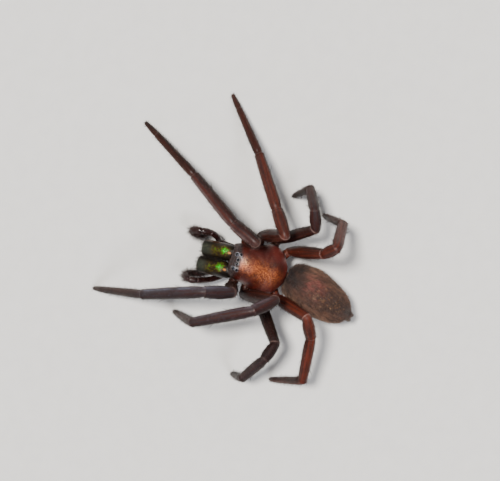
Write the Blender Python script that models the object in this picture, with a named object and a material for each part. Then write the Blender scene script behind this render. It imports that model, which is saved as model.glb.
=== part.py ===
"""Life-size tube-dwelling spider standing on a level floor, in separate closed solids.

The head points along -Y, the spider's own right side is at -X, and the floor is z = 0.
Every size below is in millimetres, and becomes metres where a mesh is made.
A bearing is an angle in plan from straight ahead, outward to the spider's own side.
A lift is an angle up from the level.
"""
import math

import bmesh
import bpy
from mathutils import Quaternion, Vector

MM = 0.001
GAP = 0.3
# Cut ends of a limb: how far the inner side of a bend reaches, and the size of the flat face
INNER_STRETCH = 1.2
INNER_REACH = 0.9
CUT_SIZE = 0.92
END_MARGIN = 0.05
LONGEST_END = 0.42
# Bends in degrees, and where the rings of a cut end lie between the cut and the straight length
STRAIGHT_BEND = 1.0
SHARP_BEND = 35.0
SHARP_SHARES = (1.0, 0.5, 0.0)
SOFT_SHARES = (1.0, 0.4)
# Edges sharper than this many degrees stay crisp
CRISP_EDGE = 50.0
RIGHT = -1
LEFT = 1
SIDE_NAMES = {RIGHT: "right", LEFT: "left"}
UP = Vector((0, 0, 1))
AHEAD = Vector((0, -1, 0))
SIDEWAYS = Vector((1, 0, 0))

# Carapace: the shield over the front half of the body
CARAPACE_FRONT_Y = -3.75
CARAPACE_REAR_Y = 3.5
CARAPACE_FLOOR_Z = 4.75
CARAPACE_RIM_Z = 5.0
CARAPACE_SIDES = 28
CARAPACE_RINGS = 17
CARAPACE_FLAT = 0.85
CARAPACE_FOOT = 0.94
# share of the length from the front, half width, height of the crown above the rim
CARAPACE_SHAPE = (
    (0.00, 2.05, 1.05),
    (0.06, 2.24, 1.50),
    (0.20, 2.36, 1.85),
    (0.34, 2.58, 1.85),
    (0.50, 2.98, 1.60),
    (0.66, 3.25, 1.30),
    (0.82, 2.85, 1.00),
    (0.94, 1.90, 0.50),
    (1.00, 1.10, 0.20),
)

# Eyes: three pairs in one low row at the front of the carapace
# distance off the middle, distance behind the front edge, radius
EYE_PAIRS = {
    "front_side": (0.90, 0.34, 0.21),
    "rear_side": (1.00, 0.80, 0.19),
    "middle": (0.26, 0.62, 0.19),
}
EYE_GAP = 0.06
EYE_SUNK = 0.30
SLOPE_STEP = 0.05
EYE_SEGMENTS = 10
EYE_RINGS = 7

# Sternum: the breastplate with the mouthparts in front, between the hips
STERNUM_FRONT_Y = -3.5
STERNUM_REAR_Y = 2.85
STERNUM_TOP_Z = CARAPACE_FLOOR_Z - GAP
STERNUM_BELLY_Z = 2.7
STERNUM_SIDES = 16
STERNUM_RINGS = 10
MOUTHPARTS_SHARE = 0.3
# share of the length from the front, half width, thickness as a share of the thickest
STERNUM_SHAPE = (
    (0.00, 0.75, 0.45),
    (0.12, 1.00, 0.75),
    (0.24, 1.05, 1.00),
    (0.45, 1.40, 1.00),
    (0.68, 1.40, 1.00),
    (0.85, 0.95, 0.85),
    (1.00, 0.50, 0.50),
)

# Pedicel: the narrow waist
PEDICEL_RADIUS = 0.42
PEDICEL_Z = 3.98
PEDICEL_LENGTH = 0.7
PEDICEL_SIDES = 12

# Abdomen
ABDOMEN_LENGTH = 9.05
ABDOMEN_HALF_WIDTH = 2.85
ABDOMEN_HALF_HEIGHT = 2.65
ABDOMEN_TURN = 17.0
ABDOMEN_DROOP = 3.0
ABDOMEN_Z = 4.6
ABDOMEN_SIDES = 22
ABDOMEN_RINGS = 14
# share of the length from the front, share of the greatest half width
ABDOMEN_SHAPE = (
    (0.00, 0.44),
    (0.04, 0.66),
    (0.16, 0.86),
    (0.38, 1.00),
    (0.62, 0.91),
    (0.82, 0.76),
    (0.94, 0.54),
    (1.00, 0.33),
)

# Spinnerets: six short cones on one base at the tail
SPINNERET_BASE_RADIUS = 0.72
SPINNERET_BASE_DEPTH = 0.36
SPINNERET_SIDES = 8
SPINNERET_SINK = 0.4
SPINNERET_SPLAY = 0.10
SPINNERET_FAN = 0.3
SPINNERET_DROOP = 0.45
SPINNERET_BASE_SHAPE = ((0.0, 1.0), (0.5, 1.04), (1.0, 0.85))
SPINNERET_SHAPE = ((0.0, 1.0), (0.55, 0.9), (0.85, 0.7), (1.0, 0.4))
# distance off the middle, height off the middle, root radius, length
SPINNERETS = (
    (0.32, 0.20, 0.25, 0.32),
    (0.20, -0.08, 0.20, 0.22),
    (0.34, -0.36, 0.30, 0.36),
)

# Chelicerae: the paired jaws, and the fangs folded in under them
CHELICERA_SPREAD = 1.20
CHELICERA_MIDDLE_X = 0.35
CHELICERA_ROOT_Z = 5.05
CHELICERA_TURN = 7.0
CHELICERA_LIFT = -38.0
CHELICERA_LENGTH = 3.9
CHELICERA_CLOSE = 0.8
CHELICERA_HALF_WIDTH = 0.94
CHELICERA_HALF_HEIGHT = 1.08
CHELICERA_SIDES = 16
CHELICERA_RINGS = 7
CHELICERA_SHAPE = (
    (0.00, 0.82),
    (0.12, 0.96),
    (0.35, 1.00),
    (0.70, 0.98),
    (0.90, 0.92),
    (1.00, 0.78),
)
FANG_RADIUS = 0.29
FANG_TIP_RADIUS = 0.09
FANG_TAPER = 1.3
FANG_SIDES = 10
FANG_RINGS = 8
# along the jaw, up from it, and inward from it, all measured from the end of the jaw
FANG_HINGE = (0.0, -0.30, 0.0)
FANG_BEND = (0.75, -1.25, 0.15)
FANG_TIP = (-0.35, -2.05, 0.40)

# Legs: lengths from the hip outward, and where each hip sits
LEG_LENGTHS = {
    1: {"femur": 8.4, "patella": 3.7, "tibia": 8.4, "metatarsus": 7.7, "tarsus": 2.5},
    2: {"femur": 8.2, "patella": 3.6, "tibia": 8.0, "metatarsus": 7.2, "tarsus": 2.4},
    3: {"femur": 6.6, "patella": 2.6, "tibia": 4.6, "metatarsus": 4.5, "tarsus": 1.7},
    4: {"femur": 7.6, "patella": 3.0, "tibia": 6.4, "metatarsus": 6.0, "tarsus": 2.0},
}
HIP_Z = 4.0
COXA_ROOT_Z = 3.5
# root of the coxa, then the hip where the femur starts, as distance off the middle and y
COXA_ROOTS = {1: (1.45, -2.0), 2: (1.80, -0.60), 3: (1.80, 0.95), 4: (1.38, 2.25)}
HIPS = {1: (3.30, -2.55), 2: (3.90, -0.70), 3: (3.95, 1.50), 4: (3.05, 3.40)}

# Thickness of the legs: greatest radius of each length, with a slimmer build behind
LEG_RADII = {"coxa": 0.66, "femur": 0.86, "patella": 0.86, "tibia": 0.79, "foot": 0.58}
LEG_BUILD = {1: 1.0, 2: 0.98, 3: 0.90, 4: 0.94}
LEG_SHAPES = {
    "coxa": ((0.0, 0.76), (0.5, 0.96), (1.0, 0.94)),
    "femur": ((0.0, 0.72), (0.12, 0.88), (0.36, 1.0), (0.75, 0.93), (1.0, 0.82)),
    "patella": ((0.0, 0.88), (0.4, 1.0), (0.75, 0.97), (1.0, 0.86)),
    "tibia": ((0.0, 0.88), (0.2, 1.0), (0.7, 0.93), (1.0, 0.82)),
    "foot": ((0.0, 0.90), (0.12, 1.0), (0.45, 0.88), (0.76, 0.72), (0.88, 0.62), (1.0, 0.46)),
}
LEG_SIDES = 10
LEG_RINGS = {"coxa": 3, "femur": 7, "patella": 3, "tibia": 5, "foot": 7}
TARSUS_DROOP = 4.0
STEEPEST_FOOT = 84.0
HALVINGS = 40
PAD_RADIUS = 0.20
PAD_CLEARANCE = 0.03

# The pose, leg by leg: bearing and lift of each length; the foot's lift follows from the floor
LEG_POSE = {
    (1, RIGHT): {"femur": (3, 88), "patella": (24, -33), "tibia": (36, -33), "foot": 32},
    (1, LEFT): {"femur": (4, 81), "patella": (12, 18), "tibia": (24, -34), "foot": 21},
    (2, RIGHT): {"femur": (134, 78), "patella": (60, -33), "tibia": (60, -33), "foot": 54},
    (2, LEFT): {"femur": (-157, 71), "patella": (35, 26), "tibia": (32, -27), "foot": 20},
    (3, RIGHT): {"femur": (137, 50), "patella": (64, 19), "tibia": (79, -59), "foot": -71},
    (3, LEFT): {"femur": (122, 38), "patella": (65, 23), "tibia": (68, -38), "foot": 77},
    (4, RIGHT): {"femur": (155, 67), "patella": (117, 63), "tibia": (113, -61), "foot": 10},
    (4, LEFT): {"femur": (165, 66), "patella": (123, -20), "tibia": (102, -23), "foot": 39},
}

# Palps: the two short feelers beside the jaws, each folded back on itself.
# The middle line of each one, from its root beside the mouth to its tip
PALP_LINES = {
    RIGHT: (
        (-1.42, -3.55, 2.45),
        (-1.54, -5.11, 2.20),
        (-2.16, -6.06, 3.10),
        (-2.42, -7.07, 3.70),
        (-2.31, -8.09, 3.95),
        (-2.17, -8.92, 3.60),
        (-1.90, -9.10, 2.90),
        (-1.70, -8.52, 2.25),
        (-1.68, -7.04, 1.70),
    ),
    LEFT: (
        (2.35, -3.60, 2.60),
        (2.90, -4.41, 2.90),
        (3.43, -5.44, 3.30),
        (3.85, -7.05, 4.22),
        (3.96, -7.87, 4.13),
        (3.82, -8.34, 3.43),
        (3.65, -8.16, 2.48),
        (3.40, -7.55, 1.83),
        (2.88, -5.69, 1.60),
    ),
}
# the row of that line where the arm ends and the hand starts
PALP_WRIST = 3
PALP_RADIUS = 0.46
PALP_SIDES = 10
PALP_ARM_RINGS = 9
PALP_HAND_RINGS = 13
PALP_ARM_SHAPE = ((0.0, 0.80), (0.3, 0.88), (0.8, 0.90), (1.0, 0.86))
PALP_HAND_SHAPE = ((0.0, 0.90), (0.3, 1.0), (0.6, 1.0), (0.85, 0.95), (1.0, 0.66))
PALP_TIP_SIZE = 0.28
PALP_TIP_REACH = 0.35

# Colours: base colour, roughness, metallic
FINISHES = {
    "carapace_cuticle": ((0.105, 0.018, 0.010), 0.32, 0.0),
    "leg_cuticle": ((0.030, 0.012, 0.010), 0.42, 0.0),
    "hind_leg_cuticle": ((0.075, 0.018, 0.011), 0.40, 0.0),
    "under_cuticle": ((0.040, 0.014, 0.009), 0.50, 0.0),
    "abdomen_velvet": ((0.040, 0.028, 0.025), 0.85, 0.0),
    "chelicera_cuticle": ((0.020, 0.060, 0.018), 0.25, 0.35),
    "fang_cuticle": ((0.030, 0.006, 0.005), 0.22, 0.0),
    "eye_lens": ((0.012, 0.012, 0.014), 0.06, 0.0),
}


def clear_scene():
    for item in list(bpy.data.objects):
        bpy.data.objects.remove(item, do_unlink=True)


def finish(name):
    """The named cuticle or hair colour, made once."""
    material = bpy.data.materials.get(name)
    if material is None:
        colour, roughness, metallic = FINISHES[name]
        material = bpy.data.materials.new(name)
        material.use_nodes = True
        shader = material.node_tree.nodes["Principled BSDF"]
        shader.inputs["Base Color"].default_value = (*colour, 1.0)
        shader.inputs["Roughness"].default_value = roughness
        shader.inputs["Metallic"].default_value = metallic
        material.diffuse_color = (*colour, 1.0)
    return material


def direction(side, bearing, lift):
    """Unit vector from a bearing and a lift in degrees."""
    turn = math.radians(bearing)
    rise = math.radians(lift)
    level = math.cos(rise)
    return Vector((side * level * math.sin(turn), -level * math.cos(turn), math.sin(rise)))


def read_shape(shape, share):
    """Values of a shape table at a share of its length, eased through the rows."""
    rows = len(shape)
    index = 0
    while index < rows - 2 and share > shape[index + 1][0]:
        index += 1
    start, end = shape[index], shape[index + 1]
    before = shape[max(index - 1, 0)]
    after = shape[min(index + 2, rows - 1)]
    span = end[0] - start[0]
    t = min(max((share - start[0]) / span, 0.0), 1.0)
    values = []
    for k in range(1, len(start)):
        slope_in = (end[k] - before[k]) / (end[0] - before[0]) * span
        slope_out = (after[k] - start[k]) / (after[0] - start[0]) * span
        blend = (2 * t ** 3 - 3 * t ** 2 + 1) * start[k] + (t ** 3 - 2 * t ** 2 + t) * slope_in
        values.append(blend + (3 * t ** 2 - 2 * t ** 3) * end[k] + (t ** 3 - t ** 2) * slope_out)
    return values


def side_axes(along, toward=UP):
    """Two unit vectors square to a direction, the second one nearest to another vector."""
    if abs(along.normalized().dot(toward)) > 0.985:
        toward = AHEAD
    across = along.cross(toward).normalized()
    return across, across.cross(along).normalized()


def oval(centre, across, upward, half_width, half_height, sides):
    """Points of an ellipse about a centre."""
    points = []
    for step in range(sides):
        angle = 2 * math.pi * step / sides
        sideways = across * half_width * math.cos(angle)
        points.append(centre + sideways + upward * half_height * math.sin(angle))
    return points


def circle(centre, across, upward, radius, sides):
    return oval(centre, across, upward, radius, radius, sides)


def middle_of(points):
    return sum(points, Vector()) / len(points)


def make_object(name, bm, material, root, parent):
    """Turn a mesh in millimetres into a named object whose origin is at its root."""
    bmesh.ops.recalc_face_normals(bm, faces=bm.faces)
    bmesh.ops.translate(bm, verts=bm.verts, vec=-root)
    bmesh.ops.scale(bm, verts=bm.verts, vec=(MM, MM, MM))
    mesh = bpy.data.meshes.new(name)
    bm.to_mesh(mesh)
    bm.free()
    mesh.shade_smooth()
    mesh.set_sharp_from_angle(angle=math.radians(CRISP_EDGE))
    mesh.materials.append(finish(material))
    item = bpy.data.objects.new(name, mesh)
    bpy.context.scene.collection.objects.link(item)
    item.location = root * MM
    item.parent = parent
    return item


def skin_rings(rings):
    """Closed mesh through a row of rings, with a fan over each end."""
    bm = bmesh.new()
    loops = [[bm.verts.new(point) for point in ring] for ring in rings]
    sides = len(rings[0])
    for near, far in zip(loops, loops[1:]):
        for k in range(sides):
            after = (k + 1) % sides
            bm.faces.new((near[k], near[after], far[after], far[k]))
    for loop, ring in ((loops[0], rings[0]), (loops[-1], rings[-1])):
        hub = bm.verts.new(middle_of(ring))
        for k in range(sides):
            bm.faces.new((loop[k], loop[(k + 1) % sides], hub))
    return bm


def hold_behind(points, plane_point, normal):
    """Push any point that has crossed a plane back onto it."""
    held = []
    for point in points:
        depth = (point - plane_point).dot(normal)
        held.append(point - normal * depth if depth < 0 else point)
    return held


def elbow_rings(joint, axis, normal, spokes, reach):
    """Rings at the cut end of a length, from the flat cut inward.

    The outer side of the bend is round about the joint, and the inner side runs into the cut.
    axis points from the joint into the length, and normal is that of the cutting plane.
    """
    bend = axis.angle(normal)
    straight = bend < math.radians(STRAIGHT_BEND)
    hinge = axis if straight else axis.cross(normal).normalized()
    plane_point = joint + normal * GAP / 2
    longest = spokes[0].length * INNER_STRETCH
    inner_end = reach * INNER_REACH
    rings = []
    for share in SHARP_SHARES if bend > math.radians(SHARP_BEND) else SOFT_SHARES:
        turn = Quaternion(hinge, bend * share)
        ring = []
        for spoke in spokes:
            lean = spoke.dot(normal)
            if lean > 0 or straight:
                offset = turn @ spoke
            else:
                crossing = -lean / axis.dot(normal)
                offset = spoke + axis * (inner_end + (crossing - inner_end) * share)
                if share == 1.0 and offset.length > longest:
                    offset *= longest / offset.length
            ring.append(joint + offset)
        if share == 1.0:
            ring = [joint + (point - joint) * CUT_SIZE for point in ring]
        rings.append(hold_behind(ring, plane_point, normal))
    return rings


def end_reach(along, normal, size):
    """How far from a joint a length of a given radius is clear of the cutting plane."""
    lean = min(abs(along.dot(normal)), 1.0)
    return (GAP / 2 + size * math.sqrt(1 - lean * lean)) / lean + END_MARGIN


def limb_rings(start, end, start_plane, end_plane, shape, radius, count, sides, tall=1.0):
    """Rings of one length of a limb between two joints.

    start_plane and end_plane are unit normals that point into this length.
    Its ends lie half a gap inside those planes, so that neighbours face each other.
    """
    along = (end - start).normalized()
    length = (end - start).length
    across, upward = side_axes(along)

    def spokes(share):
        size = radius * read_shape(shape, share)[0]
        return oval(Vector(), across, upward, size, size * tall, sides)

    def reach(normal, size):
        return min(end_reach(along, normal, size), LONGEST_END * length)

    widest = max(tall, 1.0) * radius
    from_start = reach(start_plane, widest * read_shape(shape, 0.0)[0])
    from_end = reach(end_plane, widest * read_shape(shape, 1.0)[0])
    rings = elbow_rings(start, along, start_plane, spokes(0.0), from_start)
    for step in range(count):
        place = from_start + (length - from_start - from_end) * step / (count - 1)
        centre = start + along * place
        points = [centre + spoke for spoke in spokes(place / length)]
        points = hold_behind(points, start + start_plane * GAP / 2, start_plane)
        rings.append(hold_behind(points, end + end_plane * GAP / 2, end_plane))
    rings.extend(reversed(elbow_rings(end, -along, end_plane, spokes(1.0), from_end)))
    return rings


def joint_normal(before, after):
    """Unit normal of the plane that halves a bend, pointing onward."""
    return (before.normalized() + after.normalized()).normalized()


def carapace_half(y):
    """Half width and crown height of the carapace at a place along it."""
    return read_shape(CARAPACE_SHAPE, (y - CARAPACE_FRONT_Y) / (CARAPACE_REAR_Y - CARAPACE_FRONT_Y))


def carapace_top(x, y):
    """Point on the upper surface of the carapace."""
    half_width, crown = carapace_half(y)
    cosine = min(abs(x) / half_width, 1.0) ** (1 / CARAPACE_FLAT)
    return Vector((x, y, CARAPACE_RIM_Z + crown * math.sqrt(1 - cosine * cosine)))


def carapace_rings():
    rings = []
    for step in range(CARAPACE_RINGS):
        sweep = step / (CARAPACE_RINGS - 1)
        crowded = (1 - math.cos(math.pi * sweep)) / 2
        share = (crowded + sweep) / 2
        y = CARAPACE_FRONT_Y + (CARAPACE_REAR_Y - CARAPACE_FRONT_Y) * share
        half_width, crown = carapace_half(y)
        ring = []
        for k in range(CARAPACE_SIDES):
            angle = 2 * math.pi * k / CARAPACE_SIDES
            cosine, sine = math.cos(angle), math.sin(angle)
            x = half_width * math.copysign(abs(cosine) ** CARAPACE_FLAT, cosine)
            z = CARAPACE_RIM_Z + crown * sine
            if sine < 0:
                x *= CARAPACE_FOOT
                z = CARAPACE_FLOOR_Z
            ring.append(Vector((x, y, z)))
        rings.append(ring)
    return rings


def eye_places():
    """Name, centre and radius of each of the six eyes."""
    places = []
    for pair, (off_middle, behind, radius) in EYE_PAIRS.items():
        for side in (RIGHT, LEFT):
            x, y = side * off_middle, CARAPACE_FRONT_Y + behind
            top = carapace_top(x, y)
            slope_x = carapace_top(x + SLOPE_STEP, y) - top
            slope_y = carapace_top(x, y + SLOPE_STEP) - top
            outward = slope_x.cross(slope_y).normalized()
            centre = top - outward * radius * EYE_SUNK
            places.append((f"eye_{pair}_{SIDE_NAMES[side]}", centre, radius))
    return places


def ball(radius):
    bm = bmesh.new()
    bmesh.ops.create_uvsphere(bm, u_segments=EYE_SEGMENTS, v_segments=EYE_RINGS, radius=radius)
    return bm


def build_carapace(parent):
    """Carapace with a socket for each eye."""
    skin = skin_rings(carapace_rings())
    shield = make_object("carapace", skin, "carapace_cuticle", Vector(), parent)
    for name, centre, radius in eye_places():
        bm = ball(radius + EYE_GAP)
        bmesh.ops.translate(bm, verts=bm.verts, vec=centre)
        socket = make_object(f"{name}_socket", bm, "carapace_cuticle", centre, parent)
        socket.hide_render = True
        socket.display_type = "WIRE"
        cut = shield.modifiers.new(name, "BOOLEAN")
        cut.operation = "DIFFERENCE"
        cut.object = socket


def build_eyes(parent):
    for name, centre, radius in eye_places():
        bm = ball(radius)
        bmesh.ops.translate(bm, verts=bm.verts, vec=centre)
        make_object(name, bm, "eye_lens", centre, parent)


def build_sternum(parent):
    """Breastplate, heart-shaped from below, with a flat rear face for the waist."""
    thickness = STERNUM_TOP_Z - STERNUM_BELLY_Z
    rings = []
    for step in range(STERNUM_RINGS):
        share = step / (STERNUM_RINGS - 1)
        y = STERNUM_FRONT_Y + (STERNUM_REAR_Y - STERNUM_FRONT_Y) * share
        half_width, depth = read_shape(STERNUM_SHAPE, share)
        half_height = thickness * depth / 2
        # The mouthparts in front hang from the belly side, and the plate behind from the top
        centre = Vector((0, y, STERNUM_TOP_Z - half_height))
        if share < MOUTHPARTS_SHARE:
            centre.z = STERNUM_BELLY_Z + half_height
        rings.append(oval(centre, SIDEWAYS, UP, half_width, half_height, STERNUM_SIDES))
    root = Vector((0, 0, STERNUM_BELLY_Z))
    make_object("sternum", skin_rings(rings), "under_cuticle", root, parent)


def build_pedicel(parent):
    start = Vector((0, STERNUM_REAR_Y + GAP, PEDICEL_Z))
    rings = []
    for share in (0.0, 0.5, 1.0):
        centre = start + Vector((0, PEDICEL_LENGTH * share, 0))
        rings.append(circle(centre, SIDEWAYS, UP, PEDICEL_RADIUS, PEDICEL_SIDES))
    make_object("pedicel", skin_rings(rings), "under_cuticle", start, parent)


def abdomen_frame():
    """Front centre of the abdomen, its axis toward the tail and its two side axes."""
    front = Vector((0, STERNUM_REAR_Y + GAP + PEDICEL_LENGTH + GAP, ABDOMEN_Z))
    tailward = direction(LEFT, 180 - ABDOMEN_TURN, -ABDOMEN_DROOP)
    across, upward = side_axes(tailward)
    return front, tailward, across, upward


def build_abdomen(parent):
    front, tailward, across, upward = abdomen_frame()
    rings = []
    for step in range(ABDOMEN_RINGS):
        sweep = step / (ABDOMEN_RINGS - 1)
        share = (1 - math.cos(math.pi * sweep)) / 2
        size = read_shape(ABDOMEN_SHAPE, share)[0]
        centre = front + tailward * ABDOMEN_LENGTH * share
        half_width, half_height = ABDOMEN_HALF_WIDTH * size, ABDOMEN_HALF_HEIGHT * size
        rings.append(oval(centre, across, upward, half_width, half_height, ABDOMEN_SIDES))
    make_object("abdomen", skin_rings(rings), "abdomen_velvet", front, parent)


def fuse(name, pieces, material, root, parent):
    """One closed body from several overlapping closed meshes."""
    parts = bpy.data.collections.new(f"{name}_pieces")
    for number, bm in enumerate(pieces):
        make_object(f"{name}_piece_{number}", bm, material, Vector(), None)
        item = bpy.data.objects[f"{name}_piece_{number}"]
        parts.objects.link(item)
    whole = make_object(name, bmesh.new(), material, Vector(), None)
    join = whole.modifiers.new("union", "BOOLEAN")
    join.operation = "UNION"
    join.operand_type = "COLLECTION"
    join.collection = parts
    graph = bpy.context.evaluated_depsgraph_get()
    result = bpy.data.meshes.new_from_object(whole.evaluated_get(graph))
    bm = bmesh.new()
    bm.from_mesh(result)
    bmesh.ops.scale(bm, verts=bm.verts, vec=(1 / MM, 1 / MM, 1 / MM))
    bpy.data.objects.remove(whole, do_unlink=True)
    for item in list(parts.objects):
        bpy.data.objects.remove(item, do_unlink=True)
    bpy.data.collections.remove(parts)
    return make_object(name, bm, material, root, parent)


def build_spinnerets(parent):
    """Base against the tail of the abdomen, with three pairs of cones."""
    front, tailward, across, upward = abdomen_frame()
    tail = front + tailward * (ABDOMEN_LENGTH + GAP)
    base = []
    for share, size in SPINNERET_BASE_SHAPE:
        centre = tail + tailward * SPINNERET_BASE_DEPTH * share
        base.append(circle(centre, across, upward, SPINNERET_BASE_RADIUS * size, 2 * SPINNERET_SIDES))
    pieces = [skin_rings(base)]
    sunk = tail + tailward * SPINNERET_BASE_DEPTH * SPINNERET_SINK
    for off_middle, height, radius, length in SPINNERETS:
        for side in (RIGHT, LEFT):
            root = sunk + across * side * off_middle + upward * height
            aim = tailward + across * side * SPINNERET_SPLAY
            aim += upward * (height * SPINNERET_FAN - SPINNERET_DROOP)
            aim.normalize()
            wide, tall = side_axes(aim)
            whole = length + SPINNERET_BASE_DEPTH * (1 - SPINNERET_SINK)
            cone = []
            for share, size in SPINNERET_SHAPE:
                centre = root + aim * whole * share
                cone.append(circle(centre, wide, tall, radius * size, SPINNERET_SIDES))
            pieces.append(skin_rings(cone))
    fuse("spinnerets", pieces, "under_cuticle", tail, parent)


def chelicera_line(side):
    """Root centre and direction of one jaw."""
    x = CHELICERA_MIDDLE_X + side * CHELICERA_SPREAD
    root = Vector((x, CARAPACE_FRONT_Y - GAP / 2, CHELICERA_ROOT_Z))
    along = direction(LEFT, CHELICERA_TURN - side * CHELICERA_CLOSE, CHELICERA_LIFT)
    return root, along


def build_chelicera(side, parent):
    root, along = chelicera_line(side)
    end = root + along * CHELICERA_LENGTH
    rings = limb_rings(root, end, AHEAD, -along, CHELICERA_SHAPE, CHELICERA_HALF_WIDTH,
                       CHELICERA_RINGS, CHELICERA_SIDES, CHELICERA_HALF_HEIGHT / CHELICERA_HALF_WIDTH)
    name = f"chelicera_{SIDE_NAMES[side]}"
    make_object(name, skin_rings(rings), "chelicera_cuticle", root, parent)


def build_fang(side, parent):
    """Curved fang, hinged under the end of the jaw and folded back along its inner side."""
    root, along = chelicera_line(side)
    upward = side_axes(along)[1]
    inward = Vector((-side, 0, 0))
    jaw_end = root + along * (CHELICERA_LENGTH + GAP / 2)

    def place(offsets):
        return jaw_end + along * offsets[0] + upward * offsets[1] + inward * offsets[2]

    hinge, bend, tip = place(FANG_HINGE), place(FANG_BEND), place(FANG_TIP)
    rings = []
    for step in range(FANG_RINGS):
        t = step / (FANG_RINGS - 1)
        centre = hinge * (1 - t) ** 2 + bend * 2 * t * (1 - t) + tip * t * t
        heading = ((bend - hinge) * (1 - t) + (tip - bend) * t).normalized()
        if step == 0:
            heading = along
        wide, tall = side_axes(heading, inward)
        radius = FANG_RADIUS + (FANG_TIP_RADIUS - FANG_RADIUS) * t ** FANG_TAPER
        rings.append(circle(centre, wide, tall, radius, FANG_SIDES))
    make_object(f"fang_{SIDE_NAMES[side]}", skin_rings(rings), "fang_cuticle", hinge, parent)


def fall(length, lift):
    return -length * math.sin(math.radians(lift))


def foot_lift(height, metatarsus, tarsus):
    """Lift of the metatarsus that lets the tip of the tarsus down onto the floor."""
    steep, shallow = -STEEPEST_FOOT, 0.0
    for _ in range(HALVINGS):
        lift = (steep + shallow) / 2
        drop = fall(metatarsus, lift) + fall(tarsus, tarsus_lift(lift))
        if drop > height:
            steep = lift
        else:
            shallow = lift
    return lift


def tarsus_lift(metatarsus_lift):
    return max(metatarsus_lift - TARSUS_DROOP, -STEEPEST_FOOT)


def leg_points(number, side):
    """Joints of one leg, from the root of its coxa to the tip of its foot."""
    lengths, pose = LEG_LENGTHS[number], LEG_POSE[number, side]
    off_middle, y = COXA_ROOTS[number]
    points = [Vector((side * off_middle, y, COXA_ROOT_Z))]
    off_middle, y = HIPS[number]
    points.append(Vector((side * off_middle, y, HIP_Z)))
    for name in ("femur", "patella", "tibia"):
        points.append(points[-1] + direction(side, *pose[name]) * lengths[name])
    lift = foot_lift(points[-1].z, lengths["metatarsus"], lengths["tarsus"])
    points.append(points[-1] + direction(side, pose["foot"], lift) * lengths["metatarsus"])
    points.append(points[-1] + direction(side, pose["foot"], tarsus_lift(lift)) * lengths["tarsus"])
    return points


def foot_rings(start, knuckle, tip, start_plane, radius):
    """Metatarsus and tarsus in one length that ends in a small flat pad on the floor."""
    shape = LEG_SHAPES["foot"]
    along = (tip - start).normalized()
    rings = limb_rings(start, tip, start_plane, -along, shape, radius, LEG_RINGS["foot"], LEG_SIDES)
    length = (tip - start).length
    knuckle_place = (knuckle - start).dot(along) / length
    sag = knuckle - (start + along * length * knuckle_place)
    bent = []
    # The last two rings of the length give way to the pad
    for ring in rings[:-2]:
        place = (middle_of(ring) - start).dot(along) / length
        lean = max(min(place / knuckle_place, (1 - place) / (1 - knuckle_place)), 0)
        moved = [point + sag * lean for point in ring]
        for point in moved:
            point.z = max(point.z, PAD_CLEARANCE)
        bent.append(moved)
    across = side_axes(along)[0]
    sideways = Vector((across.x, across.y, 0)).normalized()
    bent.append(circle(Vector((tip.x, tip.y, 0)), sideways, UP.cross(sideways), PAD_RADIUS, LEG_SIDES))
    return bent


def build_leg(number, side, parent):
    """Coxa, femur, patella, tibia and foot of one leg."""
    points = leg_points(number, side)
    headings = [(b - a).normalized() for a, b in zip(points, points[1:])]
    outward = Vector((headings[0].x, headings[0].y, 0)).normalized()
    planes = [outward] + [joint_normal(a, b) for a, b in zip(headings, headings[1:])]
    build = LEG_BUILD[number]
    material = "leg_cuticle" if number < 3 else "hind_leg_cuticle"
    leg = f"leg_{number}_{SIDE_NAMES[side]}"
    for k, name in enumerate(("coxa", "femur", "patella", "tibia")):
        rings = limb_rings(points[k], points[k + 1], planes[k], -planes[k + 1], LEG_SHAPES[name],
                           LEG_RADII[name] * build, LEG_RINGS[name], LEG_SIDES)
        make_object(f"{leg}_{name}", skin_rings(rings), material, points[k], parent)
    rings = foot_rings(points[4], points[5], points[6], planes[4], LEG_RADII["foot"] * build)
    make_object(f"{leg}_foot", skin_rings(rings), material, points[4], parent)


def palp_table(side):
    """Middle line of a palp as a shape table: distance walked, then the place."""
    points = [Vector(point) for point in PALP_LINES[side]]
    walked = 0.0
    table = [(walked, *points[0])]
    for before, after in zip(points, points[1:]):
        walked += (after - before).length
        table.append((walked, *after))
    return table


def palp_rings(table, start, end, shape, count):
    """Rings square to a palp's middle line between two distances along it."""
    rings = []
    upward = UP
    for step in range(count):
        share = step / (count - 1)
        place = start + (end - start) * share
        behind = Vector(read_shape(table, place - SLOPE_STEP))
        heading = (Vector(read_shape(table, place + SLOPE_STEP)) - behind).normalized()
        across, upward = side_axes(heading, upward)
        radius = PALP_RADIUS * read_shape(shape, share)[0]
        rings.append(circle(Vector(read_shape(table, place)), across, upward, radius, PALP_SIDES))
    tip = middle_of(rings[-1]) + heading * PALP_RADIUS * PALP_TIP_REACH
    return rings, circle(tip, across, upward, PALP_RADIUS * PALP_TIP_SIZE, PALP_SIDES)


def build_palp(side, parent):
    """Feeler in two lengths: the arm, and the hand of patella, tibia and tarsus."""
    palp = f"palp_{SIDE_NAMES[side]}"
    table = palp_table(side)
    wrist, whole = table[PALP_WRIST][0], table[-1][0]
    arm, _ = palp_rings(table, 0.0, wrist - GAP / 2, PALP_ARM_SHAPE, PALP_ARM_RINGS)
    root = Vector(table[0][1:])
    make_object(f"{palp}_arm", skin_rings(arm), "leg_cuticle", root, parent)
    hand, tip = palp_rings(table, wrist + GAP / 2, whole, PALP_HAND_SHAPE, PALP_HAND_RINGS)
    root = Vector(table[PALP_WRIST][1:])
    make_object(f"{palp}_hand", skin_rings(hand + [tip]), "leg_cuticle", root, parent)


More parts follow.
